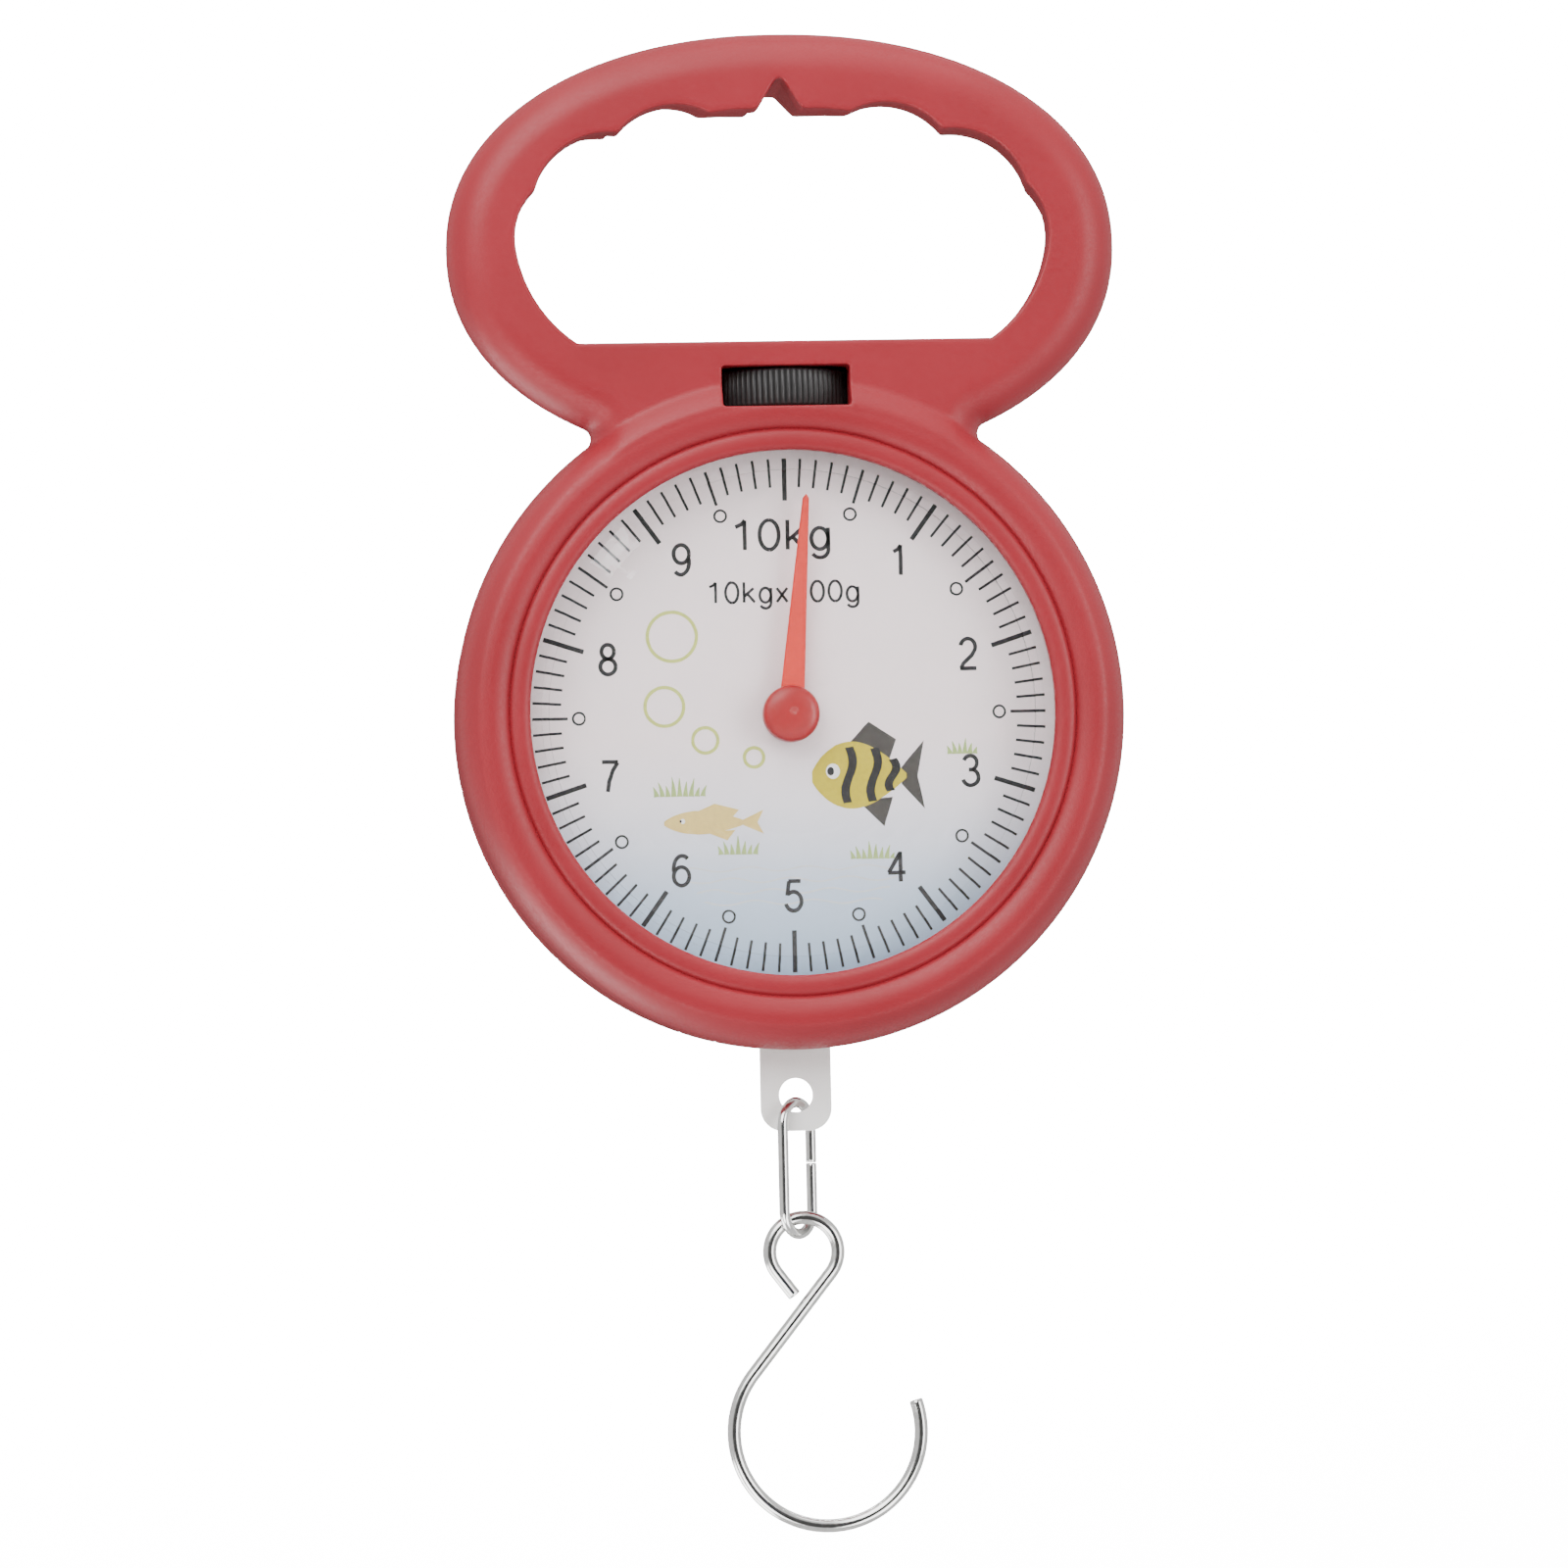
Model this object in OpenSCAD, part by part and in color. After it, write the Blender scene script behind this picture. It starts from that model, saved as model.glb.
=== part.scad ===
// Hanging spring scale, 10 kg, with a dial, a grip handle and an S-hook.
// The dial faces -Y, +X is to the right of the dial and +Z is up.
// The origin is the top of the handle's V-notch, in the plane the load hangs in.
// "Height" below means distance in front of that plane, towards the reader of the dial.

/* [Handle] */
// Half of the handle's width
handle_half_w = 45; // [44:0.5:46]
// Half of the handle's height
handle_half_h = 29; // [28.5:0.5:30]
// Squareness of the handle's outline, where 2 is an ellipse
handle_power = 2.15; // [2:0.05:2.3]
// Height of the handle's front face
face_h = 10.2; // [9.8:0.1:10.6]
// Height of the handle's back face
handle_back_h = -5; // [-6:0.5:-4.5]
// Width of the rounding along the handle's outer edge
edge_round = 5.5; // [4.5:0.5:5.5]

/* [Dial body] */
// Distance from the notch down to the dial's centre
dial_drop = 85.3; // [85.2:0.1:85.5]
// Radius of the dial body
dial_r = 45; // [44.8:0.1:45.3]
// Radius of the window over the dial
window_r = 35.2; // [34.8:0.1:35.6]
// Height of the crest of the rim
rim_h = 12; // [11.8:0.1:12.4]
// Height of the joint between the front and rear shells
split_h = 5; // [4.8:0.1:5.2]
// Height of the back of the dial body
back_h = -12.4; // [-13:0.1:-12.2]
// Wall thickness of the shells
wall = 2; // [1.8:0.1:2.2]

/* [Zero adjuster] */
// Radius of the thumbwheel
wheel_r = 9.7; // [9.2:0.1:9.8]
// Thickness of the thumbwheel
wheel_t = 5; // [4.6:0.1:5.2]
// Ribs round the thumbwheel
wheel_ribs = 74; // [60:1:80]
// Radius of the adjusting screw
screw_r = 1.5; // [1.4:0.05:1.55]

/* [Movement] */
// Gear module of the rack and pinion
gear_module = 0.5; // [0.5]
// Teeth on the pinion
pinion_teeth = 12; // [12]
// Teeth on the rack
rack_teeth = 17; // [15:1:17]
// Wire diameter of the weighing springs
spring_wire = 1.2; // [1:0.1:1.2]
// Outer diameter of the weighing springs
spring_d = 7.6; // [7:0.1:7.6]
// Distance of each spring from the middle
spring_x = 14; // [13.8:0.1:14.2]
// Angle of the pointer past the top of the dial
pointer_turn = 5.2; // [0:0.1:10]
// Length of the pointer from the arbor
pointer_len = 29.6; // [27:0.2:30]

/* [Hook and link] */
// Width of the tang
tang_w = 9.5; // [9:0.1:9.6]
// Thickness of the draw bar
bar_t = 1; // [0.8:0.1:1]
// Wire diameter of the link
link_wire = 1.4; // [1.2:0.1:1.4]
// Outer length of the link
link_len = 19.1; // [18.5:0.1:20]
// Wire diameter of the hook
hook_wire = 1.8; // [1.6:0.1:2]
// Centreline radius of the hook's bowl
bowl_r = 12.6; // [11.5:0.1:13]
// Centreline radius of the hook's eye
eye_r = 4.6; // [4.4:0.1:4.8]

/* [Hidden] */
$fn = 64;

red = [0.77, 0.28, 0.31];
black = [0.1, 0.1, 0.1];
steel = [0.75, 0.75, 0.74];
brass = [0.8, 0.66, 0.36];
cut = 1;                    // how far a cutting tool runs past a face

// Handle
notch_h = 22.5;             // notch apex above the handle's centre
handle_z = -notch_h;
grip_floor = -12.9;         // flat bottom of the grip opening, from the handle's centre
slices = 5;                 // steps round an edge
hollow_from = 6;            // distance above the handle's centre where its hollows begin
shell_gap = 0.35;           // how far the rear shell lies inside the front one
rear_edge = 5;              // rounding of the handle's rear edge
rear_grip = 1.4;            // how much wider the rear shell's grip opening is
notch_rib = 4;              // half width of the solid part of the handle above the notch

// Dial body
dial_z = -dial_drop;
rear_r = dial_r - shell_gap;
cavity_r = rear_r - wall;
cavity_h = back_h + wall;
back_round = 4;             // rounding of the dial body's rear edge
crest_r = dial_r - 4.4;
rim_start_h = split_h + 1.5;
groove_r = 38.1;
groove_h = rim_h - 1.1;
bead_r = 36.6;
bead_h = rim_h - 0.6;
lip_h = rim_h - 1.3;        // where the bead meets the window's edge
seat_h = 9.6;               // back of the lip, which the lens rests against
seat_r = 38.6;
tube_r = 39.8;              // outside of the tube that locates the lens

// Neck
neck_x = 27.6;              // centre of each rounded inside corner of the neck
neck_z = -47.9;
neck_r = 1.5;
window_w = 17.2;            // thumbwheel window
window_t = 5.6;
wheel_z = -41.5;
pocket_r = wheel_r + 0.6;
pocket_t = 6.1;
pocket_h = 8.2;             // inside of the neck's front wall
pocket_top = wheel_z + pocket_t / 2 - 0.05;
pocket_floor = pocket_top - pocket_t;
shelf_t = 1.9;
screw_top = -39.8;          // top of the adjusting screw, inside the thumbwheel
hump_top = handle_z + grip_floor;   // top of the rounded back behind the thumbwheel

// Movement, by height
card_h = 3.2;
plate_h = 2.8;
plate_back_h = 1.8;
disc_r = 38.4;
rack_back_h = -2.1;
spring_h = -2.5;
tongue_t = 1.2;
bridge_h = -6.8;
bridge_t = 0.8;
bridge_half_w = 22;
foot_end = 27;
foot_rivet_x = 24.7;
foot_rivet_r = 0.9;
arbor_r = 1;
arbor_gap = 0.03;
bush_r = 2;
flange_r = 2.8;

// Case screws: angle and radius round the dial, and the two at the handle's sides
boss_angles = [57, 123, 240, 300];
boss_ring_r = 40.3;
handle_boss_x = 40.4;
boss_r = 3.2;
head_r = 2.1;
head_t = 1.6;
shank_r = 1.05;
head_h = -3.2;
screw_tip_h = 8;

// Posts that carry the movement plate
posts = [[28, dial_z + 14], [-28, dial_z + 14], [28, dial_z - 18], [-28, dial_z - 18]];
post_r = 2.5;
post_screw_h = -5;

// Slider
travel = 19;
guide_half_w = 6.2;         // nylon guide in the slot the draw bar leaves by
guide_half_t = 1.8;
hole_z = -136.3;            // hole in the tang
tang_end = -141.1;
tang_hole_r = 2.3;
frame_half_w = 8.5;
frame_top = -56.9;
frame_end = -99.5;
slot_half_w = 4.4;
slot_top = -60.9;
slot_end = -90.8;
yoke_z = -51.5;
cross_z = -96.5;
bar_half_h = 2;
hook_hole_r = 1.4;
hook_loop_r = 2;
hook_slack = 0.1;
coil_top = yoke_z - hook_slack - 2 * hook_loop_r - 0.05;
coil_end = cross_z + hook_slack + 2 * hook_loop_r + 0.05;

// Link and hook
link_turn = 40;             // angle between the link's plane and the Y axis
link_r = 3.2;
link_gap_z = -145.4;
hook_play = 0.6;            // between the link's bottom and the hook's eye
link_top = hole_z - 0.95;   // centre of the wire at the top of the link
link_arc_top = link_top - link_r;
link_arc_end = link_top - link_len + link_wire + link_r;
eye = [0.6, link_arc_end - link_r + (link_wire + hook_wire) / 2 + hook_play - eye_r];
bowl = [3.3, eye.y - 24.2]; // centre of the hook's bowl
tail_len = 3.8;
tail_angle = 217;           // where the eye's short tail leaves its circle
tip_angle = 18;

// Outlines and curves ------------------------------------------------------------------------------

function wrap(t) = t - 360 * floor(t / 360);

// Centre of the circle through three points
function arc_centre(a, b, c) =
    let (d = 2 * (a.x * (b.y - c.y) + b.x * (c.y - a.y) + c.x * (a.y - b.y)))
    [(a * a * (b.y - c.y) + b * b * (c.y - a.y) + c * c * (a.y - b.y)) / d,
     (a * a * (c.x - b.x) + b * b * (a.x - c.x) + c * c * (b.x - a.x)) / d];

// Points along the circle from a through b, stopping before c
function arc(a, b, c, steps = 8) =
    let (
        o = arc_centre(a, b, c),
        r = norm(a - o),
        from = atan2(a.y - o.y, a.x - o.x),
        to = atan2(c.y - o.y, c.x - o.x),
        left_turn = (b.x - a.x) * (c.y - b.y) - (b.y - a.y) * (c.x - b.x) > 0,
        sweep = left_turn ? wrap(to - from) : -wrap(from - to)
    )
    [for (i = [0:steps - 1]) o + r * [cos(from + sweep * i / steps), sin(from + sweep * i / steps)]];

function superellipse(a, b, power, steps = 72) =
    [for (i = [0:steps - 1]) let (c = cos(360 * i / steps), s = sin(360 * i / steps))
        [a * sign(c) * pow(abs(c), 2 / power), b * sign(s) * pow(abs(s), 2 / power)]];

// Points on a quarter ellipse from the +x axis (0 degrees) round to the +y axis (90 degrees)
function quarter(centre, a, b, from = 0, to = 90, steps = 8) =
    [for (i = [0:steps]) let (t = from + (to - from) * i / steps) centre + [a * cos(t), b * sin(t)]];

function grown(points, by) = [for (p = points) p * (1 + by / norm(p))];

// Right half of the grip opening, from the handle's centre: side, two finger scallops, then the notch
grip_right = concat(
    arc([27.8, grip_floor], [33.4, -6.9], [35.8, 0]),
    arc([35.8, 0], [35.3, 4.5], [33, 8]),
    arc([33, 8], [28.8, 13.8], [21.8, 15.4]),
    arc([21.8, 15.4], [14, 19.1], [9.5, 17.9]),
    [[9.5, 17.9], [3.1, 18.4], [2.55, 19], [0.75, 22], [0, notch_h]]
);
grip_count = len(grip_right);
grip = concat(grip_right, [for (i = [grip_count - 2:-1:0]) [-grip_right[i].x, grip_right[i].y]]);

// Placing ------------------------------------------------------------------------------------------

// Extrudes a front view from one height to another
module slab(from_h, to_h) {
    rotate([90, 0, 0])
        translate([0, 0, from_h])
            linear_extrude(to_h - from_h)
                children();
}

// Turns a profile of [radius, height] about the dial's axis
module turned() {
    translate([0, 0, dial_z])
        rotate([90, 0, 0])
            rotate_extrude($fn = 144)
                children();
}

// A round bar along Y
module bar(at, from_h, to_h, r) {
    translate([at.x, 0, at.y])
        rotate([90, 0, 0])
            translate([0, 0, from_h])
                cylinder(r = r, h = to_h - from_h);
}

module box(low, high) {
    translate(low)
        cube(high - low);
}

module at_case_bosses() {
    for (a = boss_angles)
        translate([boss_ring_r * cos(a), 0, dial_z + boss_ring_r * sin(a)])
            children();
}

module at_bosses() {
    at_case_bosses()
        children();
    for (side = [-1, 1])
        translate([side * handle_boss_x, 0, handle_z])
            children();
}

module handle_outline(inset = 0) {
    translate([0, handle_z])
        polygon(superellipse(handle_half_w - inset, handle_half_h - inset, handle_power));
}

module grip_outline(by = 0) {
    translate([0, handle_z])
        polygon(grown(grip, by));
}

// The rear shell's opening is wider, but its notch and its floor are level with the front one's
module rear_grip_outline() {
    intersection() {
        grip_outline(rear_grip);
        translate([-handle_half_w, handle_z + grip_floor])
            square([2 * handle_half_w, notch_h - grip_floor]);
    }
}

// Shells -------------------------------------------------------------------------------------------

// The handle's solid oval, rounded towards height to_h over the last round_h of its depth
module handle_oval(from_h, to_h, round_h, round_w, inset) {
    away = sign(to_h - from_h);
    edge = to_h - away * round_h;
    curve = [for (i = [0:slices]) let (t = 90 * i / slices)
        [edge + away * round_h * sin(t), inset + round_w * (1 - cos(t))]];
    levels = abs(edge - from_h) < 0.01 ? curve : concat([[from_h, inset]], curve);
    rings = away > 0 ? levels : [for (i = [len(levels) - 1:-1:0]) levels[i]];
    n = len(superellipse(1, 1, 2));
    points = [for (ring = rings)
        for (p = superellipse(handle_half_w - ring[1], handle_half_h - ring[1], handle_power))
            [p.x, -ring[0], handle_z + p.y]];
    sides = [for (k = [0:len(rings) - 2]) for (i = [0:n - 1]) let (j = (i + 1) % n, a = k * n, b = a + n)
        each [[a + i, b + i, b + j], [a + i, b + j, a + j]]];
    back = [for (i = [0:n - 1]) i];
    front = [for (i = [n - 1:-1:0]) (len(rings) - 1) * n + i];
    polyhedron(points, concat([back, front], sides));
}

// Fills the two inside corners between the handle and the dial body
module neck_fill(from_h, to_h) {
    slab(from_h, to_h)
        difference() {
            polygon([[-neck_x, neck_z], [-26.7, -49.1], [26.7, -49.1],
                [neck_x, neck_z], [27, -46.5], [-27, -46.5]]);
            for (side = [-1, 1])
                translate([side * neck_x, neck_z])
                    circle(r = neck_r);
        }
}

// Hollows in the grip, on each side of the notch, between an outer and an inner wall
module grip_hollow(from_h, to_h, inner_wall) {
    slab(from_h, to_h)
        difference() {
            handle_outline(wall + 0.6);
            grip_outline(inner_wall);
            translate([-handle_half_w, handle_z - handle_half_h])
                square([2 * handle_half_w, handle_half_h + hollow_from]);
            translate([-notch_rib, handle_z])
                square([2 * notch_rib, handle_half_h]);
        }
}

module wheel_space() {
    translate([0, 0, pocket_floor])
        cylinder(r = pocket_r, h = pocket_top - pocket_floor);
}

module front_shell() {
    color(red)
    difference() {
        union() {
            difference() {
                handle_oval(split_h, face_h, face_h - split_h, edge_round, 0);
                bar([0, dial_z], split_h - cut, face_h + cut, seat_r + 0.4);
            }
            turned()
                polygon(concat(
                    [[cavity_r + shell_gap, split_h]],
                    quarter([crest_r, rim_start_h], dial_r - crest_r, rim_h - rim_start_h),
                    quarter([crest_r, groove_h], groove_r - crest_r, rim_h - groove_h, 80, 0, 4),
                    quarter([bead_r, groove_h], groove_r - 0.2 - bead_r, bead_h - groove_h, 10, 90, 4),
                    quarter([bead_r, lip_h], window_r - bead_r, bead_h - lip_h, 80, 0, 4),
                    [[window_r, seat_h], [seat_r, seat_h], [seat_r, split_h], [tube_r, split_h], [tube_r, 9],
                        [cavity_r - 0.6, 9], [cavity_r + shell_gap, 8.4]]
                ));
            neck_fill(split_h, 8);
            at_case_bosses()
                bar([0, 0], split_h, 9.2, boss_r);
            box([-pocket_r, -9, pocket_floor - shelf_t], [pocket_r, -split_h, pocket_floor]);
        }
        slab(split_h - cut, face_h + cut)
            grip_outline();
        grip_hollow(split_h - cut, pocket_h, wall);
        bar([0, dial_z], split_h - cut, seat_h, seat_r);
        intersection() {
            wheel_space();
            box([-pocket_r, -pocket_h, pocket_floor], [pocket_r, -split_h + cut, pocket_top]);
        }
        box([-window_w / 2, -rim_h - cut, wheel_z - window_t / 2],
            [window_w / 2, -split_h, wheel_z + window_t / 2]);
        at_bosses()
            bar([0, 0], split_h - cut, screw_tip_h + 0.2, shank_r);
    }
}

module rear_shell() {
    color(red)
    difference() {
        union() {
            difference() {
                union() {
                    handle_oval(split_h, handle_back_h, rear_edge, rear_edge, shell_gap);
                    turned()
                        polygon(concat(
                            [[0, split_h], [rear_r, split_h]],
                            quarter([rear_r - back_round, back_h + back_round], back_round, -back_round),
                            [[0, back_h]]
                        ));
                    neck_fill(handle_back_h + 2.5, split_h);
                    intersection() {
                        translate([0, 0, -50])
                            cylinder(r = -back_h, h = hump_top + 50);
                        box([back_h, -split_h, -50], [-back_h, -back_h, hump_top]);
                    }
                }
                turned()
                    polygon([[0, split_h + cut], [cavity_r, split_h + cut], [cavity_r, cavity_h + 1.5],
                        [cavity_r - 1.5, cavity_h], [0, cavity_h]]);
            }
            for (p = posts)
                bar(p, cavity_h - 0.5, plate_back_h, post_r);
            at_case_bosses()
                bar([0, 0], cavity_h - 0.5, split_h, boss_r);
            box([-pocket_r, -split_h, pocket_floor - shelf_t], [pocket_r, -cavity_h + 0.5, pocket_floor]);
        }
        slab(handle_back_h - cut, split_h + cut)
            rear_grip_outline();
        grip_hollow(handle_back_h + wall, split_h + cut, wall + rear_grip);
        wheel_space();
        bar([0, dial_z], plate_back_h, split_h + cut, disc_r + 0.1);
        translate([0, 0, pocket_floor - shelf_t - cut])
            cylinder(r = screw_r + 0.25, h = shelf_t + 2 * cut);
        at_bosses() {
            bar([0, 0], back_h - cut, head_h + head_t, head_r + 0.15);
            bar([0, 0], head_h, split_h + cut, shank_r + 0.05);
        }
        for (p = posts)
            bar(p, post_screw_h - 0.5, plate_back_h + cut, shank_r);
        box([-guide_half_w, -guide_half_t, -135], [guide_half_w, guide_half_t, -125]);
    }
}

module lens() {
    dome = arc([0, 12.6], [17, 12.05], [33.7, 10.5], 14);
    inner = arc([0, 11.3], [17, 10.75], [32.6, 9.3], 14);
    color([0.9, 0.92, 0.93, 0.35])
    turned()
        polygon(concat(
            dome,
            [[33.7, 10.5], [33.7, seat_h], [seat_r - 0.2, seat_h],
                [seat_r - 0.2, 8.3], [32.6, 8.3], [32.6, 9.3]],
            [for (i = [len(inner) - 1:-1:0]) inner[i]]
        ));
}

// Movement ------------------------------------------------------------------------------------------

module dial_card() {
    color([0.87, 0.84, 0.84])
    slab(plate_h, card_h)
        translate([0, dial_z])
            difference() {
                circle(r = disc_r, $fn = 144);
                circle(r = 3);
            }
}

module movement_plate() {
    color(steel)
    difference() {
        union() {
            slab(plate_back_h, plate_h)
                difference() {
                    translate([0, dial_z])
                        circle(r = disc_r, $fn = 144);
                    translate([-6, -56])
                        square([12, 20]);
                }
            for (side = [-1, 1])
                slab(-1, plate_h)
                    translate([side * (frame_half_w + 0.65), dial_z])
                        square([0.8, 6], center = true);
        }
        bar([0, dial_z], 0, plate_h + cut, bush_r);
        for (p = posts)
            translate([p.x, -plate_back_h, p.y])
                rotate([90, 0, 0])
                    countersunk_head();
        for (side = [-1, 1])
            bar([side * foot_rivet_x, dial_z], 0, plate_h + cut, foot_rivet_r);
    }
}

module countersunk_head() {
    cylinder(r1 = shank_r, r2 = 2, h = plate_h - plate_back_h);
}

module plate_screws() {
    color(steel)
    for (p = posts) {
        translate([p.x, -plate_back_h, p.y])
            rotate([90, 0, 0])
                countersunk_head();
        bar(p, post_screw_h, plate_back_h, shank_r);
    }
}

module bush(from_h, to_h, flange_from, flange_to) {
    color(brass)
    difference() {
        union() {
            bar([0, dial_z], from_h, to_h, bush_r);
            bar([0, dial_z], flange_from, flange_to, flange_r);
        }
        bar([0, dial_z], from_h - cut, max(to_h, flange_to) + cut, arbor_r + arbor_gap);
    }
}

module arbor_bush() {
    bush(1.3, plate_h, plate_h, 3.5);
}

module rear_bush() {
    bush(-8, bridge_h, bridge_h, -6.2);
}

module bridge() {
    strap_half_h = 4;
    color(steel)
    difference() {
        union() {
            box([-bridge_half_w, -bridge_h, dial_z - strap_half_h],
                [bridge_half_w, bridge_t - bridge_h, dial_z + strap_half_h]);
            for (side = [-1, 1]) {
                leg = side * (bridge_half_w - bridge_t / 2);
                slab(bridge_h - bridge_t, plate_back_h)
                    translate([leg, dial_z])
                        square([bridge_t, 2 * strap_half_h], center = true);
                slab(plate_back_h - bridge_t, plate_back_h)
                    translate([side * (bridge_half_w + foot_end) / 2, dial_z])
                        square([foot_end - bridge_half_w + bridge_t, 2 * strap_half_h], center = true);
            }
        }
        bar([0, dial_z], bridge_h - bridge_t - cut, bridge_h + cut, bush_r);
        for (side = [-1, 1])
            bar([side * foot_rivet_x, dial_z], 0, plate_h, foot_rivet_r);
    }
}

module bridge_rivets() {
    color(steel)
    for (side = [-1, 1]) {
        bar([side * foot_rivet_x, dial_z], 1, plate_h, foot_rivet_r);
        bar([side * foot_rivet_x, dial_z], 0.3, 1, 2 * foot_rivet_r);
    }
}

module tang_guide() {
    color([0.92, 0.91, 0.88])
    difference() {
        union() {
            box([-guide_half_w, -guide_half_t, -129.3], [guide_half_w, guide_half_t, -126.9]);
            box([-8, -3, -126.9], [8, 3, -125.3]);
        }
        box([-tang_w / 2 - 0.15, -bar_t / 2 - 0.15, -131], [tang_w / 2 + 0.15, bar_t / 2 + 0.15, -124]);
    }
}

module case_screws() {
    color(steel)
    at_bosses()
        difference() {
            union() {
                bar([0, 0], head_h, head_h + head_t, head_r);
                bar([0, 0], head_h + head_t, screw_tip_h, shank_r);
            }
            for (turn = [0, 90])
                rotate([0, turn, 0])
                    box([-1.3, -head_h - 0.8, -0.25], [1.3, -head_h + cut, 0.25]);
        }
}

// Zero adjuster -------------------------------------------------------------------------------------

module zero_wheel() {
    color(black)
    translate([0, 0, wheel_z - wheel_t / 2])
        difference() {
            linear_extrude(wheel_t)
                polygon([for (i = [0:2 * wheel_ribs - 1]) let (t = 180 * i / wheel_ribs)
                    (wheel_r - 0.3 * (i % 2)) * [cos(t), sin(t)]]);
            translate([0, 0, -cut])
                cylinder(r = screw_r + 0.05, h = wheel_t + 2 * cut);
        }
}

module thrust_washer() {
    color(steel)
    translate([0, 0, pocket_floor])
        difference() {
            cylinder(r = 4, h = 0.5);
            translate([0, 0, -cut])
                cylinder(r = screw_r + 0.2, h = 0.5 + 2 * cut);
        }
}

module zero_screw() {
    color(steel)
    difference() {
        translate([0, 0, yoke_z - bar_half_h])
            cylinder(r = screw_r, h = screw_top - yoke_z + bar_half_h);
        pin_bar(4);
    }
}

// The cross pin's round bar through the yoke and the screw
module pin_bar(half_len) {
    translate([-half_len, 0, yoke_z])
        rotate([0, 90, 0])
            cylinder(r = 0.6, h = 2 * half_len);
}

module yoke_pin() {
    color(steel)
    pin_bar(3.5);
}

// Two tongues on the springs' plane, each with a hole for a spring's hook
module tongues(z, inner_x) {
    outer_x = spring_x + 3;
    for (side = [-1, 1])
        slab(spring_h - tongue_t / 2, spring_h + tongue_t / 2)
            difference() {
                translate([side * (inner_x + outer_x) / 2, z])
                    square([outer_x - inner_x, 2 * bar_half_h], center = true);
                translate([side * spring_x, z])
                    circle(r = hook_hole_r);
            }
}

module yoke() {
    color(steel)
    difference() {
        union() {
            tongues(yoke_z, 3.4);
            box([-3.5, -2.3, yoke_z - bar_half_h], [3.5, tongue_t / 2 - spring_h, yoke_z + bar_half_h]);
        }
        translate([0, 0, yoke_z - bar_half_h - cut])
            cylinder(r = screw_r, h = 2 * (bar_half_h + cut));
        pin_bar(4);
    }
}

// An extension spring: the close-wound coil as a tube, with a hooked eye at each end
module spring(side) {
    wire_r = spring_wire / 2;
    color(steel)
    translate([side * spring_x, -spring_h, 0]) {
        translate([0, 0, coil_end])
            difference() {
                cylinder(d = spring_d, h = coil_top - coil_end);
                translate([0, 0, -cut])
                    cylinder(d = spring_d - 2 * spring_wire, h = coil_top - coil_end + 2 * cut);
            }
        for (end = [[coil_top - wire_r, coil_top - 0.05 + hook_loop_r],
                    [coil_end + wire_r, coil_end + 0.05 - hook_loop_r]]) {
            translate([0, 0, end[0]])
                cube([spring_wire, spring_d - spring_wire, spring_wire], center = true);
            translate([0, 0, end[1]])
                rotate([0, 90, 0])
                    rotate_extrude($fn = 32)
                        translate([hook_loop_r, 0])
                            circle(r = wire_r, $fn = 16);
        }
    }
}

module spring_left() {
    spring(-1);
}

module spring_right() {
    spring(1);
}

// Slider --------------------------------------------------------------------------------------------

rack_rivet_x = 6.2;
rack_rivet_z = [-87.5, -75.5, -63.5];
rack_rivet_r = 0.6;
rack_end = -90;
rack_len = 28.5;
rack_edge = 8;
cross_rivet_x = 5;
cross_rivet_r = 0.9;
corner_r = 3;               // rounded corners of the tang

module draw_bar() {
    color(steel)
    slab(-bar_t / 2, bar_t / 2)
        difference() {
            union() {
                translate([-tang_w / 2, tang_end + corner_r])
                    square([tang_w, frame_end - tang_end - corner_r + 1]);
                translate([-tang_w / 2 + corner_r, tang_end])
                    square([tang_w - 2 * corner_r, 2 * corner_r]);
                for (side = [-1, 1])
                    translate([side * (tang_w / 2 - corner_r), tang_end + corner_r])
                        circle(r = corner_r);
                translate([-frame_half_w, frame_end])
                    square([2 * frame_half_w, frame_top - frame_end]);
            }
            translate([-slot_half_w, slot_end])
                square([2 * slot_half_w, slot_top - slot_end]);
            translate([0, hole_z])
                circle(r = tang_hole_r);
            for (z = rack_rivet_z)
                translate([rack_rivet_x, z])
                    circle(r = rack_rivet_r);
            for (side = [-1, 1])
                translate([side * cross_rivet_x, cross_z])
                    circle(r = cross_rivet_r);
        }
}

pitch_r = gear_module * pinion_teeth / 2;
tooth_pitch = PI * gear_module;
pressure = 20;
tooth_t = tooth_pitch / 2 - 0.12;

module rack() {
    addendum = 0.34;
    dedendum = 0.55;
    tip_x = pitch_r - addendum;
    root_x = pitch_r + dedendum;
    tip_half = tooth_t / 2 - addendum * tan(pressure);
    root_half = tooth_t / 2 + dedendum * tan(pressure);
    color(brass)
    slab(rack_back_h, -bar_t / 2)
        difference() {
            union() {
                translate([root_x, rack_end])
                    square([rack_edge - root_x, rack_len]);
                for (i = [0:rack_teeth - 1])
                    translate([0, dial_z + (i - 2) * tooth_pitch])
                        polygon([[tip_x, -tip_half], [root_x, -root_half], [root_x + 0.1, -root_half],
                            [root_x + 0.1, root_half], [root_x, root_half], [tip_x, tip_half]]);
            }
            for (z = rack_rivet_z)
                translate([rack_rivet_x, z])
                    circle(r = rack_rivet_r);
        }
}

module rivet(at, back, front, r, flange, flange_t) {
    bar(at, back, front, r);
    bar(at, back - flange_t, back, flange);
    bar(at, front, front + flange_t, flange);
}

module rack_rivets() {
    color(brass)
    for (z = rack_rivet_z)
        rivet([rack_rivet_x, z], rack_back_h, bar_t / 2, rack_rivet_r, 1.1, 0.4);
}

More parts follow.
